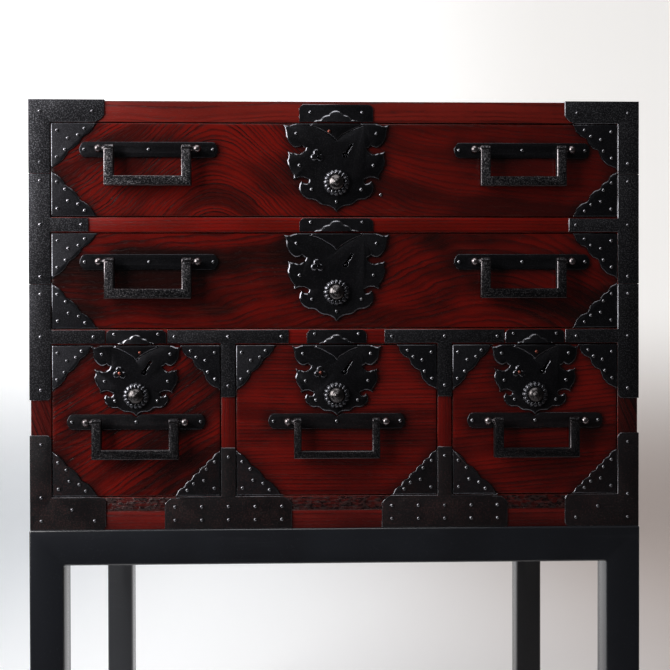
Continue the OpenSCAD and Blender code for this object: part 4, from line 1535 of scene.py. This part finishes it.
class Maker:
    """Runs one Geometry Nodes tree on points or lines."""

    def __init__(self, bench: Bench, group: Group, geometry: bpy.types.NodeSocket) -> None:
        """Ends the tree, and keeps it with the identifier of each of its inputs by name.

        Args:
            bench: The bench that hands the pieces over.
            group: The tree under construction.
            geometry: The finished geometry in it.
        """
        self.bench = bench
        self.tree = group.end(geometry)
        self.names = {s.name: s.identifier for s in self.tree.interface.items_tree
                      if s.item_type == "SOCKET" and s.in_out == "INPUT"}

    def grown(self, source: bpy.types.Object, name: str, **values: object) -> bpy.types.Object:
        """Runs the tree on an object and makes the result plain.

        Args:
            source: The object with the points or lines, which is removed.
            name: The name of the result.
            **values: The values of the tree's inputs.

        Returns:
            The plain object.
        """
        modifier = source.modifiers.new("pattern", "NODES")
        modifier.node_group = self.tree
        for key, value in values.items():
            modifier[self.names[key]] = value
        return settle(source, name)


def pattern_piece(mesh: bmesh.types.BMesh, name: str, finish: Finish) -> bpy.types.Object:
    """Makes a small piece that a tree repeats and that isn't shown itself.

    Args:
        mesh: The mesh, which is freed.
        name: The object's name.
        finish: Its finish.

    Returns:
        The hidden piece.
    """
    made = piece_of(mesh, name, [finish.material()])
    made.hide_render = True
    return made


class NailMaker(Maker):
    """Puts hand-made nail heads where the frame's nails are.

    Attributes:
        SIDES: The sides of a nail.
        SHANK_RADIUS: The radius of its shank, in millimetres as all sizes here.
        NAIL_SHANK: The length of a nail's shank.
        RIVET_SHANK: The length of a rivet's shank.
        DOME: The radius and height of each ring of the head, from its back up.
        HEAD_HEIGHT: The height of the head.
        UNEVEN: How much the head's radius wavers, as a share.
        LIP: The height from which the head is shaded smooth.
        SHORT: The whole length below which a fastener of the frame is a rivet.
        TIE: The length by which a fastener has to be longer to count as lying along X or Z.
    """

    SIDES = 10
    SHANK_RADIUS = 0.7
    NAIL_SHANK = 9.0
    RIVET_SHANK = 3.0
    DOME = ((1.78, 0.0), (1.74, 0.42), (1.3, 0.96), (0.66, 1.24))
    HEAD_HEIGHT = 1.3
    UNEVEN = 0.035
    LIP = 0.1
    SHORT = 7.0
    TIE = 0.1

    def __init__(self, bench: Bench) -> None:
        """Makes the nail, the rivet and the tree that sets them on points.

        Args:
            bench: The bench that hands the pieces over.
        """
        tree = Group("driven nails", "GeometryNodeTree",
                     [Port("Geometry", "Geometry"), Port("Nail", "Object"),
                      Port("Finish", "Material"), Port("Smallest", start=0.93),
                      Port("Largest", start=1.06), Port("Seed", "Int", 7)],
                     [Port("Geometry", "Geometry")])
        nail = tree.add("GeometryNodeObjectInfo", {"transform_space": "ORIGINAL"},
                        Object=tree.taken["Nail"]).outputs["Geometry"]
        way = tree.add("GeometryNodeInputNamedAttribute", {"data_type": "FLOAT_VECTOR"},
                       Name=NAIL_WAY).outputs[0]
        align = tree.add("FunctionNodeAlignRotationToVector", {"axis": "Z"}, Vector=way)
        spin = tree.add("FunctionNodeRandomValue", {"data_type": "FLOAT"}, Seed=tree.taken["Seed"])
        spin.inputs[2].default_value, spin.inputs[3].default_value = 0.0, math.tau
        about = tree.add("FunctionNodeAxisAngleToRotation", Angle=spin.outputs[1], Axis=(0, 0, 1))
        aimed = tree.add("FunctionNodeRotateRotation", {"rotation_space": "LOCAL"},
                         Rotation=align.outputs[0], Rotate_By=about.outputs[0])
        size = tree.add("FunctionNodeRandomValue", {"data_type": "FLOAT"}, Seed=tree.taken["Seed"])
        tree.feed(size.inputs[2], tree.taken["Smallest"])
        tree.feed(size.inputs[3], tree.taken["Largest"])
        wide = tree.add("ShaderNodeCombineXYZ", X=size.outputs[1], Y=size.outputs[1], Z=1.0)
        placed = tree.add("GeometryNodeInstanceOnPoints", Points=tree.taken["Geometry"],
                          Instance=nail, Rotation=aimed.outputs[0], Scale=wide.outputs[0])
        super().__init__(bench, tree, placed.outputs[0])
        self.nail = self._nail(self.NAIL_SHANK)
        self.rivet = self._nail(self.RIVET_SHANK)

    def _nail(self, shank: float) -> bpy.types.Object:
        """Turns one nail with a slightly uneven domed head, its head's back at the origin.

        Args:
            shank: The shank's length, in millimetres.

        Returns:
            The nail.
        """
        steps = ((self.SHANK_RADIUS, -shank), (self.SHANK_RADIUS, 0.0), *self.DOME)
        turns = [2 * math.pi * i / self.SIDES for i in range(self.SIDES)]
        rings = []
        for n, (radius, height) in enumerate(steps, start=-2):
            sizes = [radius * (1 + self.UNEVEN * math.sin(3 * a + n) * (n > 0)) for a in turns]
            rings.append([(size * math.cos(a), size * math.sin(a), height)
                          for a, size in zip(turns, sizes)])
        mesh = turned(rings, self.HEAD_HEIGHT)
        for face in mesh.faces:
            face.smooth = face.calc_center_median().z > self.LIP * MM
        return pattern_piece(mesh, f"one_nail_{shank:g}", NAIL_IRON)

    def spots(self, node: str) -> list[tuple[Vector, Vector, bool]]:
        """Reads from a node where each nail's head sits.

        Args:
            node: The node's name.

        Returns:
            For each nail the middle of its head's back, the way that it looks, and whether it
            is a short rivet.
        """
        mesh = self.bench.merged(node)
        found = []
        for part in loose_parts(mesh):
            low, high = box_of(v.co for v in part)
            size, middle = high - low, (low + high) / 2
            axis = max(range(3), key=lambda k: size[k] - self.TIE * MM * (k != 1))
            lean = sum(v.co[axis] for v in part) / len(part) - middle[axis]
            way = Vector((0, 0, 0))
            way[axis] = 1.0 if lean > 0 else -1.0
            head = middle + way * (size[axis] / 2 - self.HEAD_HEIGHT * MM)
            found.append((head, way, size[axis] < self.SHORT * MM))
        mesh.free()
        return sorted(found, key=lambda s: tuple(round(c, 5) for c in s[0]))

    def drive(self, node: str, name: str, seed: int) -> bpy.types.Object:
        """Makes the nails that stand for one node of nails.

        Args:
            node: The node's name.
            name: The piece's name.
            seed: The seed of their small differences.

        Returns:
            The finished piece.
        """
        spots, parts = self.spots(node), []
        for end, short, source, finish in ((".long", False, self.nail, NAIL_IRON),
                                           (".short", True, self.rivet, RIVET_COPPER)):
            chosen = [s for s in spots if s[2] == short]
            if chosen:
                cloud = point_cloud([s[0] for s in chosen], name + ".points")
                way = cloud.data.attributes.new(NAIL_WAY, "FLOAT_VECTOR", "POINT")
                way.data.foreach_set("vector", [c for s in chosen for c in s[1]])
                parts.append(self.grown(cloud, name + end, Nail=source, Finish=finish.material(),
                                        Seed=seed))
        LOG.info("%s: %d nails", name, len(spots))
        return self.bench.hand_over(joined(parts, name), Slot.NAIL, self.bench.body_of[node],
                                    [node])

    def put_away(self) -> None:
        """Removes the two patterns once all nails are in."""
        for pattern in (self.nail, self.rivet):
            bpy.data.objects.remove(pattern)


class RimMaker(Maker):
    """Raises a thin rounded rim along closed outlines."""

    def __init__(self, bench: Bench) -> None:
        """Builds the tree that sweeps a rim along lines.

        Args:
            bench: The bench that hands the pieces over.
        """
        tree = Group("raised rim", "GeometryNodeTree",
                     [Port("Geometry", "Geometry"), Port("Radius", start=0.0007),
                      Port("Sides", "Int", 8), Port("Finish", "Material")],
                     [Port("Geometry", "Geometry")])
        line = tree.add("GeometryNodeMeshToCurve", Mesh=tree.taken["Geometry"])
        profile = tree.add("GeometryNodeCurvePrimitiveCircle", Resolution=tree.taken["Sides"],
                           Radius=tree.taken["Radius"])
        swept = tree.add("GeometryNodeCurveToMesh", Curve=line.outputs[0],
                         Profile_Curve=profile.outputs[0], Fill_Caps=True)
        soft = tree.add("GeometryNodeSetShadeSmooth", Geometry=swept.outputs[0])
        super().__init__(bench, tree, soft.outputs[0])

    def raise_rim(self, outlines: Iterable[Sequence[Vector]], radius: float, name: str,
                  finish: Finish) -> bpy.types.Object:
        """Sweeps a rim along closed outlines.

        Args:
            outlines: The points of each outline.
            radius: The rim's radius, in millimetres.
            name: The piece's name.
            finish: The rim's finish.

        Returns:
            The plain piece.
        """
        mesh = bmesh.new()
        for points in outlines:
            for ends in round_pairs([mesh.verts.new(p) for p in points]):
                mesh.edges.new(ends)
        made = self.grown(piece_of(mesh, name + ".line"), name, Radius=radius * MM,
                          Finish=finish.material())
        mesh = opened(made)
        bmesh.ops.recalc_face_normals(mesh, faces=mesh.faces)
        put_back(mesh, made)
        return made


class PetalMaker(Maker):
    """Sets a ring of domed petals round each push button.

    Attributes:
        SIDES: The sides of a petal.
        HALF_LENGTH: Half its length, in millimetres as all sizes here.
        HALF_WIDTH: Half its width at the middle.
        FLARE: How much wider it is outside and narrower inside.
        LAYERS: The share of its outline and the height of each ring of it, from its back up.
        FALL: How far it slopes down for each millimetre outwards.
        TIP: The height of its middle.
    """

    SIDES = 10
    HALF_LENGTH = 2.3
    HALF_WIDTH = 1.9
    FLARE = 0.22
    LAYERS = ((1.0, -0.25), (0.97, 1.0), (0.8, 1.3), (0.4, 1.5))
    FALL = 0.4
    TIP = 1.56

    def __init__(self, bench: Bench) -> None:
        """Makes the one petal and the tree that sets it round.

        Args:
            bench: The bench that hands the pieces over.
        """
        tree = Group("petals round a ring", "GeometryNodeTree",
                     [Port("Geometry", "Geometry"), Port("Petal", "Object"),
                      Port("Count", "Int", 16), Port("Radius", start=0.0102),
                      Port("Seed", "Int", 3), Port("Finish", "Material")],
                     [Port("Geometry", "Geometry")])
        petal = tree.add("GeometryNodeObjectInfo", {"transform_space": "ORIGINAL"},
                         Object=tree.taken["Petal"]).outputs["Geometry"]
        circle = tree.add("GeometryNodeMeshCircle", Vertices=tree.taken["Count"],
                          Radius=tree.taken["Radius"])
        out = tree.add("GeometryNodeInputPosition").outputs[0]
        outward = tree.add("FunctionNodeAlignRotationToVector", {"axis": "X"}, Vector=out)
        size = tree.add("FunctionNodeRandomValue", {"data_type": "FLOAT"}, Seed=tree.taken["Seed"])
        size.inputs[2].default_value, size.inputs[3].default_value = 0.93, 1.04
        ring = tree.add("GeometryNodeInstanceOnPoints", Points=circle.outputs[0], Instance=petal,
                        Rotation=outward.outputs[0], Scale=size.outputs[1])
        whole = tree.add("GeometryNodeRealizeInstances", Geometry=ring.outputs[0])
        upright = tree.add("GeometryNodeTransform", Geometry=whole.outputs[0],
                           Rotation=(math.pi / 2, 0, 0))
        placed = tree.add("GeometryNodeInstanceOnPoints", Points=tree.taken["Geometry"],
                          Instance=upright.outputs[0])
        super().__init__(bench, tree, placed.outputs[0])
        self.petal = self._petal()

    def _petal(self) -> bpy.types.Object:
        """Forms one petal: a low dome that slopes outwards, with its back at the origin.

        Returns:
            The petal.
        """
        rings = []
        for share, height in self.LAYERS:
            ring = []
            for i in range(self.SIDES):
                turn = 2 * math.pi * i / self.SIDES
                wide = self.HALF_WIDTH + self.FLARE * math.cos(turn)
                out = self.HALF_LENGTH * share * math.cos(turn)
                fall = self.FALL * out * (height > 0)
                ring.append((out, wide * share * math.sin(turn), height - fall))
            rings.append(ring)
        mesh = turned(rings, self.TIP)
        for face in mesh.faces:
            face.smooth = True
        return pattern_piece(mesh, "one_petal", PETAL_IRON)

    def set_round(self, centre: Vector, name: str, seed: int) -> bpy.types.Object:
        """Makes one ring of petals.

        Args:
            centre: The ring's middle on its front face.
            name: The name of the result.
            seed: The seed of the petals' small differences.

        Returns:
            The plain piece.
        """
        return self.grown(point_cloud([centre], name + ".point"), name, Petal=self.petal,
                          Seed=seed, Finish=PETAL_IRON.material())

    def put_away(self) -> None:
        """Removes the pattern once all petals are in."""
        bpy.data.objects.remove(self.petal)


@dataclass(frozen=True)
class Drawer:
    """One drawer with its front, box, irons, lock, handles and nails.

    Attributes:
        name: The body's name, which starts every node's name.
        grain: The figure of its front.
        bails: The ends of its bails' names.
        bright: The colour of its light wood.
        middle: The colour of its clouded wood.
        seed: The seed of its nails.
        fade: How much darker its front gets towards the right.
        front_edges: The rounding of its front.
        leaf_edges: The rounding of its corner irons.
        lock_edges: The rounding of its lock plate.
        lock_slopes: The sloped rims of the plate and of the relief on it.
        mount_edges: The rounding of its handle plates.
        bail_edges: The rounding of its bails.
        boss_edges: The rounding of its lock button.
        bail_slope: The width and drop of the sloped rim of a bail's face, and the width of the
            narrowest outline that has one.
        narrow: The width below which an outline of the relief gets a raised rim.
        rim: The radius of that rim, and how far it lies inside the outline.
        hoop: The radius of the hoop round the petals, and that of its wire.
        hoop_sides: The sides of that hoop.
    """

    name: str
    grain: Grain
    bails: tuple[str, ...]
    bright: str
    middle: str
    seed: int
    fade: float = 0.0
    front_edges: Rounding = Rounding(0.5, EDGE_LACQUER)
    leaf_edges: Rounding = Rounding(0.85, LEAF_EDGE, 3)
    lock_edges: Rounding = Rounding(0.35, RIM_IRON, 3)
    lock_slopes: tuple[Slope, ...] = (Slope(PLATE_Y, 1.1, 0.65, 40.0),
                                      Slope(RELIEF_Y, 0.9, 0.6, 12.0))
    mount_edges: Rounding = Rounding(0.5, PLATE_EDGE, 3, 45.0)
    bail_edges: Rounding = Rounding(0.7, BAIL_EDGE, 2, 50.0)
    boss_edges: Rounding = Rounding(0.25, None, 2, 60.0)
    bail_slope: tuple[float, float, float] = (0.95, 0.5, 10.0)
    narrow: float = 12.0
    rim: tuple[float, float] = (0.5, 0.4)
    hoop: tuple[float, float] = (8.7, 0.4)
    hoop_sides: int = 48

    def part(self, end: str) -> str:
        """Gives the full name of one of its nodes or pieces."""
        return f"{self.name}_{end}"

    def build(self, bench: Bench, nails: NailMaker, rims: RimMaker, petals: PetalMaker) -> None:
        """Builds and dresses the whole drawer.

        Args:
            bench: The bench that works its nodes.
            nails: The maker of its nails.
            rims: The maker of its lock's raised rims.
            petals: The maker of the petals round its button.
        """
        self.front(bench)
        bench.dress(self.part("box"), BOX_WOOD)
        bench.worked(self.part("corner_irons"), self.part("corner_plates"), LEAF_IRON,
                     Slot.BLACK_IRON, self.leaf_edges)
        self.lock(bench, rims, petals)
        bench.dress(self.part("lock_bolt"), SHEET_IRON)
        bench.worked(self.part("handle_mounts"), self.part("handle_plates"), LOCK_IRON,
                     Slot.BLACK_IRON, self.mount_edges, last=rub_posts)
        for bail in self.bails:
            node = self.part(bail)
            bench.worked(node, node + "_bar", BAIL_IRON, Slot.HAMMERED, self.bail_edges,
                         [Slope(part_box(node)[0][1], *self.bail_slope)])
        nails.drive(self.part("nails"), self.part("nail_heads"), self.seed)

    def front(self, bench: Bench) -> None:
        """Builds the lacquered front board.

        Args:
            bench: The bench that works it.
        """
        finish = RedLacquer(self.name.replace("_", " ") + " lacquer", self.grain, self.bright,
                            self.middle, fade=self.fade)
        irons = [self.part(end) for end in ("corner_irons", "lock", "handle_mounts")]
        bench.worked(self.part("front"), self.part("front_board"), finish, Slot.RED,
                     self.front_edges, last=lambda board: bench.mark_iron_shade(board, irons))

    def lock(self, bench: Bench, rims: RimMaker, petals: PetalMaker) -> None:
        """Builds the lock plate with its raised rims, and the button.

        Args:
            bench: The bench that works them.
            rims: The maker of the raised rims.
            petals: The maker of the petals round the button.
        """
        node = self.part("lock")
        bench.worked(node, self.part("lock_plate"), LOCK_IRON, Slot.BLACK_IRON, self.lock_edges,
                     self.lock_slopes)
        radius, inset = self.rim
        lines = [drawn_in(loop, inset * MM) for loop in bench.loops_at(node, RELIEF_Y)
                 if span(loop, 0) < self.narrow * MM]
        ring = max(bench.loops_at(node, RING_Y), key=lambda loop: span(loop, 0))
        centre = sum(box_of(ring), Vector((0, 0, 0))) / 2
        reach, wire = self.hoop
        hoop = [centre + Vector((math.cos(a), 0, math.sin(a))) * reach * MM
                for a in (math.tau * i / self.hoop_sides for i in range(self.hoop_sides))]
        parts = [rims.raise_rim(lines, radius, self.part("rim_lines"), RIM_IRON),
                 rims.raise_rim([hoop], wire, self.part("hoops"), RIM_IRON),
                 petals.set_round(centre, self.part("petals"), self.seed)]
        bench.hand_over(joined(parts, self.part("lock_rims")), Slot.BLACK_IRON, self.name)
        bench.worked(node + "_button", self.part("lock_boss"), BOSS_METAL, Slot.BRONZE,
                     self.boss_edges)


@dataclass(frozen=True)
class Board:
    """One lacquered board of the case.

    Attributes:
        node: The board's node.
        grain: Its figure.
        bright: The colour of its light wood.
        middle: The colour of its clouded wood.
        handled: How much darker its front edge is painted, as painted shade.
    """

    node: str
    grain: Grain
    bright: str
    middle: str
    handled: float = 0.0

    def finish(self) -> RedLacquer:
        """Gives the board's finish."""
        return RedLacquer(self.node.replace("_", " ") + " lacquer", self.grain, self.bright,
                          self.middle, handled=self.handled)


@dataclass(frozen=True)
class Case:
    """The wooden case with its boards, irons and nails.

    Attributes:
        edges: The rounding of the boards.
        iron_edges: The rounding of the irons.
        iron_slope: The sloped rim of the lozenge on the strike plates.
        boards: The boards of one even finish.
        rails: The finish of the bottom rail, with a scuffed strip.
        seed: The seed of the nails.
    """

    edges: Rounding = Rounding(0.6, EDGE_LACQUER)
    iron_edges: Rounding = Rounding(0.45, RUBBED_EDGE, 3)
    iron_slope: Slope = Slope(RELIEF_Y, 1.4, 0.85, 12.0)
    boards: tuple[Board, ...] = (
        Board("top_board", Grain((35, 0, 0), (0, 0, 0.81), swirl=10, ripple=3, sharp=0.4,
                                 depth=0.5), "7c2019", "611812"),
        Board("bottom_board", Grain(centre=(0.1, 0, 0.4), swirl=6, ripple=2, sharp=0.4,
                                    depth=0.5), "6c1a16", "4c1210"),
        Board("left_side", Grain((0, 90, 0), (0, 0, 0.6), 5.0, 0.1, 0.16, ripple=4),
              "5c1815", "40100e"),
        Board("right_side", Grain((0, 90, 0), (0, 0.1, 0.6), 5.0, 0.1, 0.16, ripple=4),
              "661a14", "45110e", handled=0.72),
        Board("upper_shelf", Grain(centre=(0, 0, 0.7), spacing=3.4, swirl=5, ripple=2,
                                   sharp=0.45, depth=0.5), "80120b", "681008"),
        Board("lower_shelf", Grain(centre=(0.2, 0, 0.59), spacing=3.4, swirl=5, ripple=2,
                                   sharp=0.45, depth=0.5), "78120c", "600e0a"),
        Board("dividers", Grain((0, 90, 0), (0, 0, 0.5), 3.4, swirl=5, ripple=2, sharp=0.45,
                                depth=0.5), "6a110c", "540e0b"),
    )
    rails: RedLacquer = RedLacquer("bottom rail lacquer",
                                   Grain(centre=(0, 0, 0.42), spacing=3.4, swirl=6, ripple=2),
                                   "6a1814", "4a120f", scuffed=(18.2, 34.0), wear=0.3)
    seed: int = 3

    def build(self, bench: Bench, nails: NailMaker) -> None:
        """Builds and dresses the whole case.

        Args:
            bench: The bench that works its nodes.
            nails: The maker of its nails.
        """
        for board in self.boards:
            bench.worked(board.node, board.node + "_planed", board.finish(), Slot.RED, self.edges)
        bench.worked("base_rails", "base_rails_planed", self.rails, Slot.RED, self.edges)
        bench.dress("back_board", BACK_WOOD)
        bench.worked("frame_irons", "case_irons", SHEET_IRON, Slot.BLACK_IRON, self.iron_edges,
                     [self.iron_slope], blacken_strikes)
        nails.drive("frame_nails", "case_nail_heads", self.seed)


@dataclass(frozen=True)
class Stand:
    """The black stand, whose legs and rails show no joint.

    Attributes:
        edges: The rounding of its edges.
        gap: The distance within which points of the joined frame are one, in metres.
    """

    edges: Rounding = Rounding(1.8, STAND_EDGE, 3)
    gap: float = 1e-5

    def build(self, bench: Bench) -> None:
        """Builds the stand in one piece from its legs and rails.

        Args:
            bench: The bench that works its nodes.
        """
        nodes = ("stand_legs", "stand_rails")
        legs, rails = (piece_of(bench.merged(node), node + ".copy") for node in nodes)
        union = legs.modifiers.new("one frame", "BOOLEAN")
        union.object = rails
        union.operation = "UNION"
        union.solver = "EXACT"
        rough = settle(legs, "stand_frame")
        bpy.data.objects.remove(rails)
        rough.data.materials.clear()
        for material in self.edges.materials(STAND_LACQUER):
            rough.data.materials.append(material)
        mesh = opened(rough)
        simplify(mesh, self.gap)
        put_back(mesh, rough)
        made = bench.bevelled(rough, self.edges)
        bench.smooth(made, ROUNDED_ANGLE)
        bench.hand_over(made, Slot.STAND, bench.body_of[nodes[0]], nodes)


@dataclass(frozen=True)
class Lamp:
    """One soft lamp.

    Attributes:
        name: The lamp's name.
        place: Where it hangs.
        target: What it looks at.
        size: Its width and height, in metres.
        power: Its power, in watts.
        colour: Its colour.
    """

    name: str
    place: Point
    target: Point
    size: tuple[float, float]
    power: float
    colour: Colour = WHITE

    def hang(self) -> None:
        """Hangs the lamp."""
        data = bpy.data.lights.new(self.name, "AREA")
        data.shape = "RECTANGLE"
        data.size, data.size_y = self.size
        data.energy = self.power
        data.color = self.colour
        way = Vector(self.target) - Vector(self.place)
        turn = way.to_track_quat("-Z", "Y").to_matrix().to_4x4()
        linked(self.name, data).matrix_world = Matrix.Translation(self.place) @ turn


@dataclass(frozen=True)
class Studio:
    """Camera, floor, backdrop and soft light.

    Attributes:
        eye: The camera's place.
        turn: The camera's turn to the right, its tilt down and its roll, in radians.
        sensor: The width of the camera's sensor, in millimetres.
        lens: The focal length, as a share of that width.
        width: Half the paper's width, in metres.
        near: Where the floor starts along Y.
        far: Where the backdrop stands.
        bend: The radius of the curve between them.
        top: The backdrop's height.
        dimness: The strength of the room's light where the camera doesn't see the room itself.
        lamps: The lamps.
    """

    eye: Point = (-0.03945, FRONT_Y - 1.1334, 0.603)
    turn: tuple[float, float, float] = (-0.0334, -0.0107, -0.0021)
    sensor: float = 36
    lens: float = 1147.8 / 670
    width: float = 3.2
    near: float = -0.65
    far: float = 3.0
    bend: float = 1.0
    top: float = 3.4
    dimness: float = 0.04
    lamps: tuple[Lamp, ...] = (
        Lamp("window light", (-1.3, -0.86, 1.12), (0, -0.2, 0.6), (0.95, 1.15), 30.0,
             (1.0, 0.985, 0.97)),
        Lamp("overhead light", (-0.2, -0.55, 1.9), (0, -0.4, 0.6), (1.6, 0.9), 10.0),
        Lamp("side light", (1.7, 0.5, 1.0), (0.3, 0.05, 0.6), (0.8, 0.8), 8.0),
        Lamp("back wall light", (-0.9, 1.1, 2.3), (-0.1, 1.9, 0.3), (1.6, 0.6), 20.0),
    )

    def build(self) -> None:
        """Makes the camera, the paper, the lamps and the world."""
        self.camera()
        self.paper()
        for lamp in self.lamps:
            lamp.hang()
        self.world()

    def camera(self) -> None:
        """Makes the camera at the photograph's angle."""
        data = bpy.data.cameras.new("camera")
        data.sensor_width = self.sensor
        data.lens = self.lens * self.sensor
        data.clip_start = 0.01
        made = linked("camera", data)
        right, down, roll = self.turn
        made.matrix_world = (Matrix.Translation(self.eye) @ Matrix.Rotation(right, 4, "Z")
                             @ Matrix.Rotation(math.pi / 2 + down, 4, "X")
                             @ Matrix.Rotation(roll, 4, "Z"))
        bpy.context.scene.camera = made

    def paper(self) -> None:
        """Rolls out the paper: a floor that turns up into a backdrop."""
        mesh = bmesh.new()
        start = self.far - self.bend
        line = [(self.near, 0.0), (start, 0.0)]
        line += [(start + self.bend * math.sin(a), self.bend - self.bend * math.cos(a))
                 for a in (math.radians(d) for d in range(6, 91, 6))]
        line.append((self.far, self.top))
        rows = [[mesh.verts.new((x, y, z)) for x in (-self.width, self.width)] for y, z in line]
        for a, b in zip(rows, rows[1:]):
            mesh.faces.new((a[0], a[1], b[1], b[0])).smooth = True
        piece_of(mesh, "studio_paper", [StudioPaper().material()])

    def world(self) -> None:
        """Fills the room with dim light, white where the camera sees it."""
        world = bpy.data.worlds.new("room")
        bpy.context.scene.world = world
        world.use_nodes = True
        world.node_tree.nodes.clear()
        tree = Tree(world.node_tree)
        seen = tree.add("ShaderNodeLightPath").outputs["Is Camera Ray"]
        strength = tree.linear(seen, 1 - self.dimness, self.dimness)
        back = tree.add("ShaderNodeBackground", Color=WHITE, Strength=strength)
        tree.add("ShaderNodeOutputWorld", Surface=back.outputs[0])
        bpy.context.scene.view_settings.view_transform = "Standard"


WIDE_BAILS = ("left_bail", "right_bail")
DRAWERS = (
    Drawer("upper_drawer", Grain((0, 0, 0), (-0.118, 0, 0.75), 5.0, 0.15, 0.1, 15, 9, 0.36, 0.95),
           WIDE_BAILS, "76120a", "460b07", 11, 0.42),
    Drawer("middle_drawer", Grain((0, -14, 0), (0.19, 0, 0.64), 7.0, 0.24, 0.25, 30, 12, 0.3, 0.7),
           WIDE_BAILS, "680e08", "220705", 12),
    Drawer("lower_left_drawer", Grain((0, 33, 0), (-0.2, 0, 0.5), 5.2, swirl=26, ripple=8),
           ("bail",), "74110a", "2c0807", 13),
    Drawer("lower_centre_drawer", Grain(centre=(0, 0, 0.5), spacing=3.6, swirl=5, ripple=2,
                                        sharp=0.35, depth=0.7),
           ("bail",), "74130d", "500d0a", 14),
    Drawer("lower_right_drawer", Grain((0, 5, 0), (0.2, 0, 0.5), 4.8, swirl=8, ripple=3,
                                       sharp=0.4, depth=0.65),
           ("bail",), "70110b", "4c0c09", 15),
)


def main() -> None:
    """Builds the studio, the case, the stand and the drawers in order."""
    logging.basicConfig(level=logging.INFO, format="%(name)s: %(message)s")
    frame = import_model()
    Studio().build()
    bench = Bench(frame)
    nails = NailMaker(bench)
    rims = RimMaker(bench)
    petals = PetalMaker(bench)
    Case().build(bench, nails)
    Stand().build(bench)
    for drawer in DRAWERS:
        drawer.build(bench, nails, rims, petals)
    nails.put_away()
    petals.put_away()


if __name__ == "__main__":
    main()
